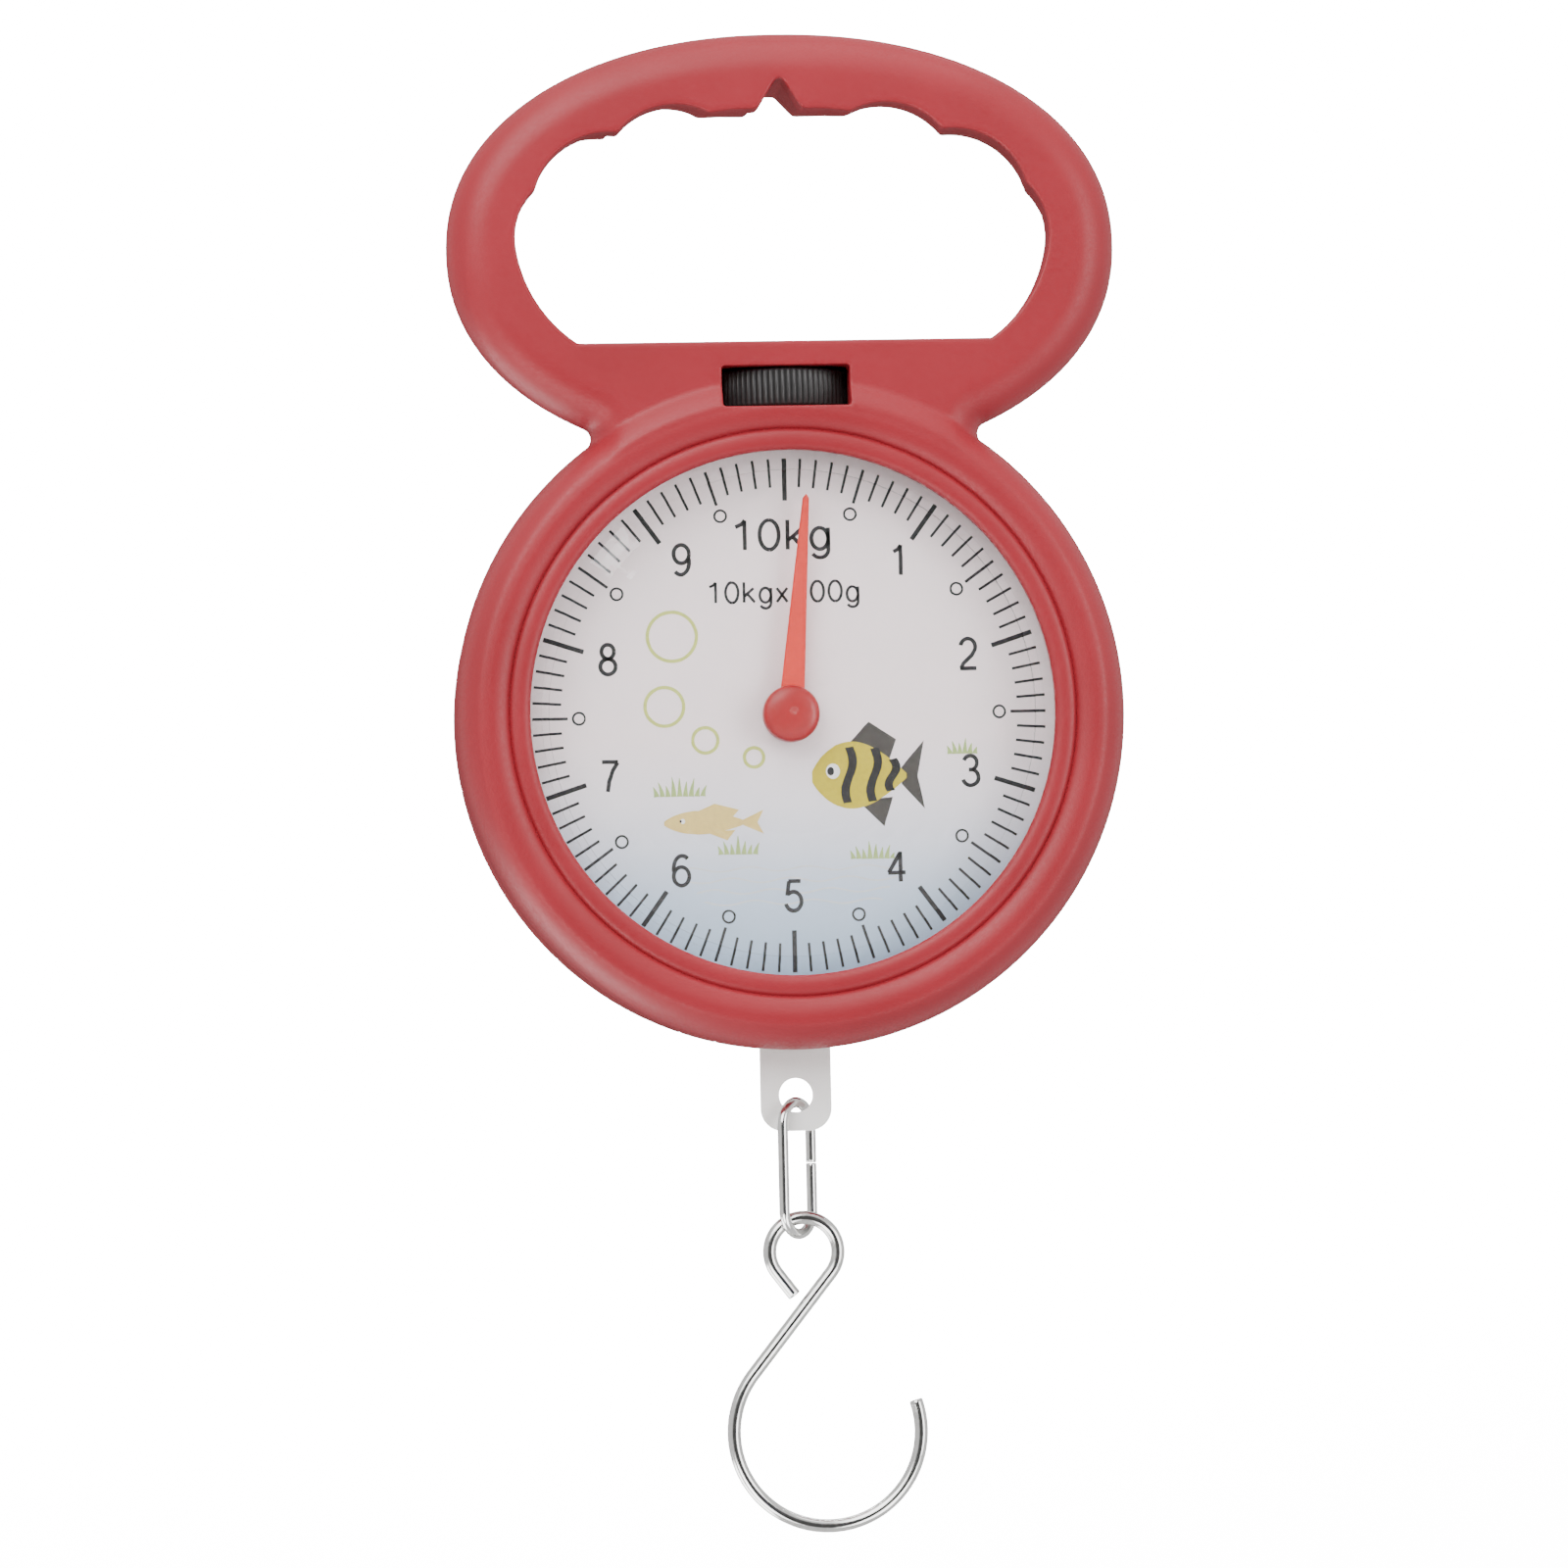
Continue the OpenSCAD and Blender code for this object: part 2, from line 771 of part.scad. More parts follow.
module spring_crossbar() {
    middle_x = 8;
    color(steel)
    difference() {
        union() {
            tongues(cross_z, middle_x - 0.1);
            box([-middle_x, bar_t / 2, cross_z - bar_half_h],
                [middle_x, tongue_t / 2 - spring_h, cross_z + bar_half_h]);
        }
        for (side = [-1, 1])
            bar([side * cross_rivet_x, cross_z], spring_h - 2, cut, cross_rivet_r);
    }
}

module crossbar_rivets() {
    color(steel)
    for (side = [-1, 1])
        rivet([side * cross_rivet_x, cross_z], spring_h - tongue_t / 2, bar_t / 2, cross_rivet_r, 1.6, 0.5);
}

// Pointer -------------------------------------------------------------------------------------------

module arbor() {
    color(steel)
    union() {
        bar([0, dial_z], -8.2, 6.4, arbor_r);
        bar([0, dial_z], -5.9, -2.4, 1.6);
    }
}

// Angle between a tooth's middle and its involute flank, at radius r
function flank_angle(r) =
    let (
        base = pitch_r * cos(pressure),
        a = acos(min(1, base / r)),
        involute = tan(a) - a * PI / 180,
        at_pitch = tan(pressure) - pressure * PI / 180
    )
    (tooth_t / 2 / pitch_r + at_pitch - involute) * 180 / PI;

module pinion() {
    root_r = 2.35;
    tip_r = 3.4;
    radii = [root_r, 2.82, 3, 3.2, tip_r];
    flank = [for (r = radii) [r, flank_angle(r)]];
    step = 360 / pinion_teeth;
    color(brass)
    slab(-2.4, 0.9)
        translate([0, dial_z])
            difference() {
                polygon([for (i = [0:pinion_teeth - 1]) each concat(
                    [for (f = flank) f[0] * [cos((i + 0.5) * step - f[1]), sin((i + 0.5) * step - f[1])]],
                    [for (k = [len(flank) - 1:-1:0]) let (f = flank[k])
                        f[0] * [cos((i + 0.5) * step + f[1]), sin((i + 0.5) * step + f[1])]]
                )]);
                circle(r = arbor_r);
            }
}

module pointer() {
    hub_r = 3.8;
    tip_half = 0.4;
    base_half = 1.75;
    color([0.86, 0.3, 0.28])
    translate([0, 0, dial_z])
        rotate([0, pointer_turn, 0])
            difference() {
                union() {
                    slab(5.4, 6.2) {
                        polygon([[-base_half, 0], [base_half, 0], [tip_half, pointer_len - tip_half],
                            [-tip_half, pointer_len - tip_half]]);
                        translate([0, pointer_len - tip_half])
                            circle(r = tip_half);
                    }
                    bar([0, 0], 5, 8, hub_r);
                }
                bar([0, 0], 4, 6.4, arbor_r);
            }
}

// Link and hook -------------------------------------------------------------------------------------

// A bent wire in the XZ plane: part of a ring about a centre, anticlockwise from one angle
module ring(centre, r, wire, from, sweep) {
    translate([centre.x, 0, centre.y])
        rotate([90, 0, 0])
            rotate([0, 0, from])
                rotate_extrude(angle = sweep, $fn = 96)
                    translate([r, 0])
                        circle(d = wire, $fn = 24);
}

// A straight wire in the XZ plane from a point, in a direction given as an angle from +X
module straight(start, angle, len, wire) {
    translate([start.x, 0, start.y])
        rotate([0, 90 - angle, 0])
            cylinder(d = wire, h = len, $fn = 24);
}

module link() {
    leg = link_arc_top - link_arc_end;
    gap = 0.25;
    color(steel)
    rotate([0, 0, 90 - link_turn]) {
        ring([0, link_arc_top], link_r, link_wire, 0, 180);
        ring([0, link_arc_end], link_r, link_wire, 180, 180);
        straight([-link_r, link_arc_end], 90, leg, link_wire);
        straight([link_r, link_arc_end], 90, link_gap_z - gap / 2 - link_arc_end, link_wire);
        straight([link_r, link_gap_z + gap / 2], 90, link_arc_top - link_gap_z - gap / 2, link_wire);
    }
}

// The hook, drawn from the top of its slanting shank
module hook() {
    reach = norm(bowl - eye);
    lean = atan2(bowl.x - eye.x, eye.y - bowl.y);
    shank_lean = asin((eye_r + bowl_r) / reach) - lean;
    shank_len = sqrt(reach * reach - pow(eye_r + bowl_r, 2));
    shank_top = eye + eye_r * [cos(shank_lean), -sin(shank_lean)];
    eye_sweep = tail_angle + shank_lean;
    tail_inset = 0.3;
    color(steel)
    translate([shank_top.x, 0, shank_top.y])
        rotate([0, shank_lean, 0]) {
            straight([0, -shank_len], 90, shank_len, hook_wire);
            ring([-eye_r, 0], eye_r, hook_wire, 0, eye_sweep);
            ring([bowl_r, -shank_len], bowl_r, hook_wire, 180, 180 + shank_lean + tip_angle);
            translate([-eye_r, 0, 0])
                rotate([0, -eye_sweep, 0])
                    straight([eye_r, -tail_inset], 90, tail_len + tail_inset, hook_wire - 0.04);
        }
}

front_shell();
rear_shell();
lens();
dial_card();
movement_plate();
plate_screws();
arbor_bush();
rear_bush();
bridge();
bridge_rivets();
tang_guide();
thrust_washer();
case_screws();
zero_wheel();
zero_screw();
yoke();
yoke_pin();
spring_left();
spring_right();
draw_bar();
rack();
rack_rivets();
spring_crossbar();
crossbar_rivets();
arbor();
pinion();
pointer();
link();
hook();
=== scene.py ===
import math

import bmesh
import bpy
import numpy as np
from mathutils import Matrix, Vector
from mathutils.geometry import delaunay_2d_cdt


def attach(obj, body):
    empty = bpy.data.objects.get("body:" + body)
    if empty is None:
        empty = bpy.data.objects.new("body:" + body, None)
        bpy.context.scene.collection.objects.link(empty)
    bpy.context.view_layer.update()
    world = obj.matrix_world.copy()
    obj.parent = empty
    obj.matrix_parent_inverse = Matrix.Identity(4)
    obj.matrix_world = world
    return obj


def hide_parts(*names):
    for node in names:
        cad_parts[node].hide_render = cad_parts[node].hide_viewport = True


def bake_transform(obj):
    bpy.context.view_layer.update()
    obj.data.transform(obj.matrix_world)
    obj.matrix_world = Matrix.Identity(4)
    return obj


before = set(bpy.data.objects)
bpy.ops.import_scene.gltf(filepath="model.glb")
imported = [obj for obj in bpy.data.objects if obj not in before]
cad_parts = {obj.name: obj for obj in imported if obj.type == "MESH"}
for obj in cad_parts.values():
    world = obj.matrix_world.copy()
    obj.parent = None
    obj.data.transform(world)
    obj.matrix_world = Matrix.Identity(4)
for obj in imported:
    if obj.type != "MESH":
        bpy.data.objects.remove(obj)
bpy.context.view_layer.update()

MM = 0.001

# Sizes are in millimetres. Height is measured towards the reader of the dial (-Y).
DIAL_Z = -85.3
DIAL_R = 45.0

# Handle: half width, half height, the power of its superellipse and the height of its centre.
HANDLE = (45.0, 29.0, 2.15, -22.5)
HANDLE_Z = HANDLE[3]

# Grip opening, from the handle's centre. The rear shell's opening is wider all round.
GRIP_FLOOR = -12.9
NOTCH_TOP = 22.5
REAR_GRIP = 1.4

# Front shell: the parting plane, the handle's face and the width of its rounded edge.
SPLIT = 5.0
FACE = 10.2
EDGE = 5.5

# Rim of the dial, from its crest inwards over a groove and a bead to the window.
CREST_R = 40.6
CREST = 12.0
GROOVE_R = 38.1
GROOVE = CREST - 1.1
BEAD_OUT = 37.95
BEAD_R = 36.6
BEAD = CREST - 0.6
WINDOW_R = 35.2
SEAT_R = 38.6
SEAT = 9.6

# Centre and radius of the rounded corner between the handle and the dial body.
CORNER = (27.6, -47.9, 1.5)

# Rear shell.
REAR_INSET = 0.35
REAR_EDGE = 5.0
BACK = -12.4
BACK_EDGE = 4.0
BACK_BORE_R = 42.65
HANDLE_BACK = -5.0
HUMP_EDGE = 1.2
SCREW_R = 2.25
SCREW_FLOOR = -1.6
SCREW_CIRCLE_R = 40.3
SCREW_ANGLES = (57, 123, 240, 300)
HANDLE_SCREW_X = 40.4

# Thumbwheel, its window (width, height, corner) and its well (radius, bottom, top).
WHEEL_Z = -41.5
WHEEL_R = 9.7
WHEEL_HALF = 2.5
WHEEL_WINDOW = (17.2, 5.6, 0.35)
WHEEL_WELL = (10.3, -44.6, -38.5)
WELL_FRONT = 8.2

# Card and pointer. The turn is in degrees, clockwise from the top.
CARD = 3.2
POINTER_TURN = 5.2
POINTER_LEN = 29.6

# Link, and the turn of its plane in degrees.
LINK_TURN = 40.0
LINK_TOP = -137.25
LINK_LEN = 19.1
LINK_R = 3.2
LINK_WIRE = 0.7
GAP_Z = -145.4
GAP_HALF = 0.13

# Hook: eye and bowl as (x, z) centres, the angle of the eye's open end and the rise of the tip in degrees.
EYE = (0.6, -157.35)
EYE_R = 4.6
EYE_END = 217
EYE_TAIL = 3.75
BOWL = (3.3, -181.55)
BOWL_R = 12.6
TIP_RISE = 18
HOOK_WIRE = 0.9

# Springs.
SPRING_X = 14.0
SPRING_H = -2.5
SPRING_R = 3.2
SPRING_WIRE = 0.6
SPRING_TOP = -55.65
SPRING_LOW = -92.35
SPRING_TURNS = 30

# Printing: the outer end of the marks, the circle of the numerals, the pen's width and the ink's thickness.
MARK_END = 34.6
HALF_MARK_R = 28.3
NUMERAL_R = 25.5
NUMERAL_H = 4.0
PEN = 0.132
INK = 0.03

# Stage, in metres: the floor's height, where it starts to rise and the radius of the sweep.
FLOOR = -0.34
SWEEP_FROM = 1.2
SWEEP_R = 0.9


# ---------------------------------------------------------------- small helpers

def place(points):
    """(x, height, z) in millimetres to Blender's metres."""
    p = np.asarray(points, dtype=float)
    return np.stack([p[:, 0], -p[:, 1], p[:, 2]], 1) * MM


def piece(name, verts, faces, mat, body, slot, sharp=40.0):
    """A mesh from vertices in metres, finished as one piece of a body."""
    mesh = bpy.data.meshes.new(name)
    mesh.from_pydata([tuple(v) for v in verts], [], [tuple(f) for f in faces])
    mesh.validate()
    obj = bpy.data.objects.new(name, mesh)
    bpy.context.collection.objects.link(obj)
    clean(obj)
    finish_piece(obj, mat, body, sharp)
    return obj


def clean(obj, merge=1e-7):
    """Merges doubled vertices and turns every face outwards."""
    bm = bmesh.new()
    bm.from_mesh(obj.data)
    bmesh.ops.remove_doubles(bm, verts=bm.verts, dist=merge)
    bmesh.ops.recalc_face_normals(bm, faces=bm.faces)
    bm.to_mesh(obj.data)
    bm.free()


def finish_piece(obj, mat, body, sharp=40.0):
    obj.data.materials.clear()
    obj.data.materials.append(mat)
    shade(obj, sharp)
    if body:
        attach(obj, body)


def shade(obj, sharp):
    obj.data.polygons.foreach_set("use_smooth", [True] * len(obj.data.polygons))
    obj.data.set_sharp_from_angle(angle=math.radians(sharp))


def apply_modifiers(obj):
    graph = bpy.context.evaluated_depsgraph_get()
    mesh = bpy.data.meshes.new_from_object(obj.evaluated_get(graph))
    obj.modifiers.clear()
    obj.data = mesh


def cut(obj, cutter):
    mod = obj.modifiers.new("cut", "BOOLEAN")
    mod.operation = "DIFFERENCE"
    mod.solver = "EXACT"
    mod.object = cutter
    apply_modifiers(obj)
    bpy.data.objects.remove(cutter)


def tool(verts, faces):
    mesh = bpy.data.meshes.new("tool")
    mesh.from_pydata([tuple(v) for v in verts], [], [tuple(f) for f in faces])
    obj = bpy.data.objects.new("tool", mesh)
    bpy.context.collection.objects.link(obj)
    clean(obj)
    return obj


def loft(rings, caps=True):
    """Verts and faces of a tube through rings that all have the same number of points."""
    n = len(rings[0])
    verts = np.concatenate(rings)
    faces = []
    for k in range(len(rings) - 1):
        a = k * n
        b = a + n
        for i in range(n):
            j = (i + 1) % n
            faces.append((a + i, a + j, b + j, b + i))
    if caps:
        faces.append(tuple(range(n - 1, -1, -1)))
        faces.append(tuple(range((len(rings) - 1) * n, len(rings) * n)))
    return verts, faces


def disc_tool(x, z, r, h0, h1, n=64):
    t = np.linspace(0, 2 * np.pi, n, endpoint=False)
    rings = [place(np.stack([x + r * np.cos(t), 0 * t + h, z + r * np.sin(t)], 1)) for h in (h0, h1)]
    return tool(*loft(rings))


def upright_tool(r, z0, z1, h_max=None):
    t = np.linspace(0, 2 * np.pi, 96, endpoint=False)
    h = r * np.sin(t)
    if h_max is not None:
        h = np.minimum(h, h_max)
    rings = [place(np.stack([r * np.cos(t), h, 0 * t + z], 1)) for z in (z0, z1)]
    return tool(*loft(rings))


def box_tool(x0, x1, h0, h1, z0, z1):
    rings = [place([(x0, h0, z), (x1, h0, z), (x1, h1, z), (x0, h1, z)]) for z in (z0, z1)]
    return tool(*loft(rings))


def revolve(profile, n):
    """A closed ring of revolution about the dial's axis from a closed profile of (radius, height)."""
    rings = []
    for a in np.linspace(0, 2 * np.pi, n, endpoint=False):
        rings.append(place([(r * math.cos(a), h, DIAL_Z + r * math.sin(a)) for r, h in profile]))
    return loft(rings + [rings[0]], caps=False)


def sweep(path, radius, sides=20, loop=False, ends=0.0):
    """A round wire along a path in metres, with its radius in metres and softened ends."""
    path = np.asarray(path, dtype=float)
    tangent = np.gradient(path, axis=0)
    if loop:
        tangent = np.roll(path, -1, 0) - np.roll(path, 1, 0)
    tangent /= np.linalg.norm(tangent, axis=1)[:, None]
    side = Vector(tangent[0]).orthogonal().normalized()
    rings = []
    for p, t in zip(path, tangent):
        t = Vector(t)
        side = (side - t * side.dot(t)).normalized()
        up = t.cross(side)
        ring = [Vector(p) + (side * math.cos(a) + up * math.sin(a)) * radius
                for a in np.linspace(0, 2 * math.pi, sides, endpoint=False)]
        rings.append(np.array(ring))
    if ends and not loop:
        for k, way in ((0, -1), (-1, 1)):
            centre = rings[k].mean(0)
            tip = centre + (rings[k] - centre) * (1 - ends) + tangent[k] * way * radius * ends
            rings = [tip] + rings if k == 0 else rings + [tip]
    if loop:
        return loft(rings + [rings[0]], caps=False)
    return loft(rings)


# ---------------------------------------------------------------- outlines in the dial's plane

def superellipse(a, b, power, t):
    c, s = np.cos(t), np.sin(t)
    x = a * np.sign(c) * np.abs(c) ** (2 / power)
    z = b * np.sign(s) * np.abs(s) ** (2 / power)
    return np.stack([x, z], 1)


def circle(r, t):
    """Points on a circle about the dial's centre."""
    return np.stack([r * np.cos(t), DIAL_Z + r * np.sin(t)], 1)


def from_dial(points):
    return np.hypot(points[:, 0], points[:, 1] - DIAL_Z)


def grid(step, low):
    """Points all over the handle and the neck, down to the height low."""
    x, z = np.meshgrid(np.arange(-44, 45, step), np.arange(low, 7, step))
    return np.stack([x.ravel(), z.ravel()], 1)


def even(points, step):
    """The same closed curve with evenly spaced points."""
    p = np.asarray(points, dtype=float)
    p = np.concatenate([p, p[:1]])
    d = np.concatenate([[0], np.cumsum(np.linalg.norm(np.diff(p, axis=0), axis=1))])
    n = max(3, int(round(d[-1] / step)))
    at = np.linspace(0, d[-1], n, endpoint=False)
    return np.stack([np.interp(at, d, p[:, 0]), np.interp(at, d, p[:, 1])], 1)


def scale_outline(inset=0.0):
    """The handle and the dial body as one outline, with rounded inside corners."""
    a, b, power, hz = HANDLE
    cx, cz, cr = CORNER
    r = DIAL_R - inset
    top = superellipse(a - inset, b - inset, power, np.linspace(-np.pi / 2, np.pi / 2, 2400)) + [0, hz]
    near = np.argmin(np.hypot(top[:, 0] - cx, top[:, 1] - cz))
    to_dial = math.atan2(cz - DIAL_Z, cx)
    low = [(r * math.cos(t), DIAL_Z + r * math.sin(t)) for t in np.linspace(-np.pi / 2, to_dial, 1500)]
    a0 = math.atan2(low[-1][1] - cz, low[-1][0] - cx)
    a1 = math.atan2(top[near, 1] - cz, top[near, 0] - cx)
    if a1 > a0:
        a1 -= 2 * math.pi
    cr += inset
    corner = [(cx + cr * math.cos(t), cz + cr * math.sin(t)) for t in np.linspace(a0, a1, 60)[1:-1]]
    right = np.concatenate([low, corner, top[near:]])
    left = right[::-1] * [-1, 1]
    return even(np.concatenate([right, left[1:-1]]), 0.5)


def arc3(a, b, c, n=14):
    """Points on the circle from a through b, stopping before c."""
    (ax, ay), (bx, by), (cx, cy) = a, b, c
    d = 2 * (ax * (by - cy) + bx * (cy - ay) + cx * (ay - by))
    ux = ((ax**2 + ay**2) * (by - cy) + (bx**2 + by**2) * (cy - ay) + (cx**2 + cy**2) * (ay - by)) / d
    uy = ((ax**2 + ay**2) * (cx - bx) + (bx**2 + by**2) * (ax - cx) + (cx**2 + cy**2) * (bx - ax)) / d
    r = math.hypot(ax - ux, ay - uy)
    t0 = math.atan2(ay - uy, ax - ux)
    t1 = math.atan2(cy - uy, cx - ux)
    left_turn = (bx - ax) * (cy - by) - (by - ay) * (cx - bx) > 0
    turn = (t1 - t0) % (2 * math.pi) if left_turn else -((t0 - t1) % (2 * math.pi))
    return [(ux + r * math.cos(t0 + turn * i / n), uy + r * math.sin(t0 + turn * i / n)) for i in range(n)]


def grip_outline(grow=0.0):
    """The grip opening, moved out by grow: a flat bottom, two finger scallops a side and the V-notch."""
    right = arc3((27.8, GRIP_FLOOR), (33.4, -6.9), (35.8, 0)) + arc3((35.8, 0), (35.3, 4.5), (33, 8))
    right += arc3((33, 8), (28.8, 13.8), (21.8, 15.4)) + arc3((21.8, 15.4), (14, 19.1), (9.5, 17.9))
    right += [(9.5, 17.9), (6.5, 18.3), (3.1, 18.4), (2.55, 19.0), (0.75, 22.0), (0.35, 22.4), (0, NOTCH_TOP)]
    points = np.array(right + [(-x, z) for x, z in right[-2::-1]])
    points = points * (1 + grow / np.linalg.norm(points, axis=1))[:, None]
    points[:, 1] = np.clip(points[:, 1], GRIP_FLOOR, NOTCH_TOP)
    return even(round_corners(even(points, 0.4)) + [0, HANDLE_Z], 0.3)


def round_corners(points, passes=2):
    """Eases sharp corners slightly by cutting them (Chaikin)."""
    for _ in range(passes):
        nxt = np.roll(points, -1, 0)
        points = np.stack([points * 0.75 + nxt * 0.25, points * 0.25 + nxt * 0.75], 1).reshape(-1, 2)
    return points


def wheel_window():
    """The thumbwheel's window: a rectangle with rounded corners."""
    w, h, r = WHEEL_WINDOW
    pts = []
    for sx, sz, t0 in ((1, -1, -90), (1, 1, 0), (-1, 1, 90), (-1, -1, 180)):
        for t in np.radians(np.linspace(t0, t0 + 90, 6)):
            pts.append((sx * (w / 2 - r) + r * math.cos(t), WHEEL_Z + sz * (h / 2 - r) + r * math.sin(t)))
    return even(pts, 0.4)


def distance(points, loop):
    """Distance from each point to a closed polygon's edge."""
    a = loop
    d = np.roll(loop, -1, 0) - a
    dd = (d**2).sum(1)
    out = np.empty(len(points))
    for k in range(0, len(points), 2000):
        p = points[k:k + 2000, None]
        t = np.clip(((p - a) * d).sum(-1) / dd, 0, 1)
        out[k:k + 2000] = np.sqrt((((a + t[..., None] * d) - p) ** 2).sum(-1).min(1))
    return out


def within(points, loop):
    """Which points lie inside a closed polygon."""
    a = loop
    b = np.roll(loop, -1, 0)
    out = np.empty(len(points), dtype=bool)
    for k in range(0, len(points), 4000):
        x = points[k:k + 4000, 0, None]
        y = points[k:k + 4000, 1, None]
        cross = (a[:, 1] > y) != (b[:, 1] > y)
        with np.errstate(divide="ignore", invalid="ignore"):
            at = (b[:, 0] - a[:, 0]) * (y - a[:, 1]) / (b[:, 1] - a[:, 1]) + a[:, 0]
        out[k:k + 4000] = (cross & (x < at)).sum(1) % 2 == 1
    return out


def normals_of(loop):
    """Unit normals of an anticlockwise loop, pointing inwards."""
    t = np.roll(loop, -1, 0) - np.roll(loop, 1, 0)
    t /= np.linalg.norm(t, axis=1)[:, None]
    return np.stack([-t[:, 1], t[:, 0]], 1)


def smooth_max(a, b, k):
    """The greater of two heights, blended where they differ by less than k."""
    h = np.clip(0.5 + 0.5 * (a - b) / np.maximum(k, 1e-6), 0, 1)
    return b * (1 - h) + a * h + k * h * (1 - h)


def rounding(d, width, power=2.0):
    """0 at an edge rising to 1 at width, as a quarter of an ellipse."""
    u = np.clip(1 - d / width, 0, 1)
    return (1 - u**power) ** (1 / power)


# ---------------------------------------------------------------- shells

def triangles(points, edges, outline, holes):
    """Triangles between an outline and its holes, and where each point went."""
    got = delaunay_2d_cdt([Vector(p) for p in points], edges, [], 0, 1e-6)
    where = {old: new for new, olds in enumerate(got[3]) for old in olds}
    flat = np.array([tuple(v) for v in got[0]])
    tris = np.array([f for f in got[2] if len(f) == 3])
    mid = flat[tris].mean(1)
    keep = within(mid, outline)
    for hole in holes:
        keep &= ~within(mid, hole)
    return flat, tris[keep], where


def shell(name, outline, holes, extra, height):
    """A closed solid: a curved face over the flat parting plane, with side walls round each loop."""
    loops = [outline] + holes
    count = [len(loop) for loop in loops]
    points = np.concatenate(loops + [extra])
    edges = []
    start = 0
    for n in count:
        edges += [(start + i, start + (i + 1) % n) for i in range(n)]
        start += n
    top, top_tris, top_at = triangles(points, edges, outline, holes)
    low, low_tris, low_at = triangles(np.concatenate(loops), edges, outline, holes)
    verts = np.concatenate([np.stack([top[:, 0], height(top), top[:, 1]], 1),
                            np.stack([low[:, 0], 0 * low[:, 0] + SPLIT, low[:, 1]], 1)])
    base = len(top)
    faces = [tuple(f) for f in top_tris] + [tuple(base + i for i in f[::-1]) for f in low_tris]
    for a, b in edges:
        faces.append((top_at[a], top_at[b], base + low_at[b], base + low_at[a]))
    mesh = bpy.data.meshes.new(name)
    mesh.from_pydata([tuple(v) for v in place(verts)], [], faces)
    obj = bpy.data.objects.new(name, mesh)
    bpy.context.collection.objects.link(obj)
    clean(obj, 1e-8)
    return obj


def offsets(loop, distances, sign=1):
    """Copies of a loop moved into the material, without the parts that would cross."""
    out = []
    n = normals_of(loop) * sign
    for d in distances:
        moved = loop + n * d
        out.append(moved[distance(moved, loop) > d * 0.985])
    return out


def front_height(outline, grip, window):
    """Height of the front: the rounded handle and neck, flowing into the dial's rim."""
    def height(p):
        d = distance(p, outline)
        r = from_dial(p)
        base = SPLIT + (FACE - SPLIT) * rounding(d, EDGE)
        rim = SPLIT + (CREST - SPLIT) * rounding(DIAL_R - r, DIAL_R - CREST_R, 2.1)
        inner = GROOVE + (CREST - GROOVE) * rounding(r - GROOVE_R, CREST_R - GROOVE_R, 1.7)
        rim = np.where(r < CREST_R, inner, rim)
        bead = GROOVE - 0.1 + (BEAD - GROOVE + 0.1) * rounding(BEAD_OUT - r, 1.35)
        bead = np.where(r < BEAD_R, BEAD - 0.8 * (1 - rounding(r - WINDOW_R + 0.03, 1.43, 2.2)), bead)
        rim = np.where(r < GROOVE_R, bead, rim)
        rim = np.where(r > DIAL_R, SPLIT, rim)
        k = 3.6 * np.clip(d / 3.5, 0, 1) * np.clip((r - CREST_R + 0.6) / 2, 0, 1)
        h = smooth_max(base, rim, k)
        h = np.where(r < CREST_R, rim, h)
        h = h - 0.4 * (1 - rounding(distance(p, grip), 0.4))
        return h - 0.25 * (1 - rounding(distance(p, window), 0.25))
    return height


def front_shell():
    outline = scale_outline()
    grip = grip_outline()
    window = wheel_window()
    t = np.linspace(0, 2 * np.pi, 440, endpoint=False)
    turns = np.radians(np.linspace(0, 90, 15))[1:]
    extra = offsets(outline, EDGE * (1 - np.cos(turns)))
    extra += offsets(grip, [0.03, 0.12, 0.25, 0.4, 0.9], -1)
    extra += offsets(window, [0.03, 0.1, 0.18, 0.25, 0.6], -1)
    radii = list(np.arange(35.26, BEAD_R, 0.17)) + list(np.arange(36.7, 38.0, 0.14))
    radii += [38.03, GROOVE_R, 38.17]
    radii += list(np.arange(38.3, CREST_R, 0.2)) + [CREST_R] + list(np.arange(41.0, 49.0, 0.4))
    for k, r in enumerate(radii):
        extra.append(circle(r, t + k * 0.007))
    extra = np.concatenate(extra + [grid(1.3, -52)])
    r = from_dial(extra)
    d = distance(extra, outline)
    keep = within(extra, outline) & ~within(extra, grip) & ~within(extra, window) & (d > 0.015)
    keep &= (distance(extra, grip) > 0.02) & (distance(extra, window) > 0.02) & (r > WINDOW_R + 0.04)
    obj = shell("shell_front", outline, [grip, window, circle(WINDOW_R, t)], extra[keep],
                front_height(outline, grip, window))
    cut(obj, disc_tool(0, DIAL_Z, SEAT_R, SPLIT - 1, SEAT, 220))
    cut(obj, upright_tool(*WHEEL_WELL, h_max=WELL_FRONT))
    clean(obj)
    finish_piece(obj, RED, "case", 35)
    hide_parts("front_shell")


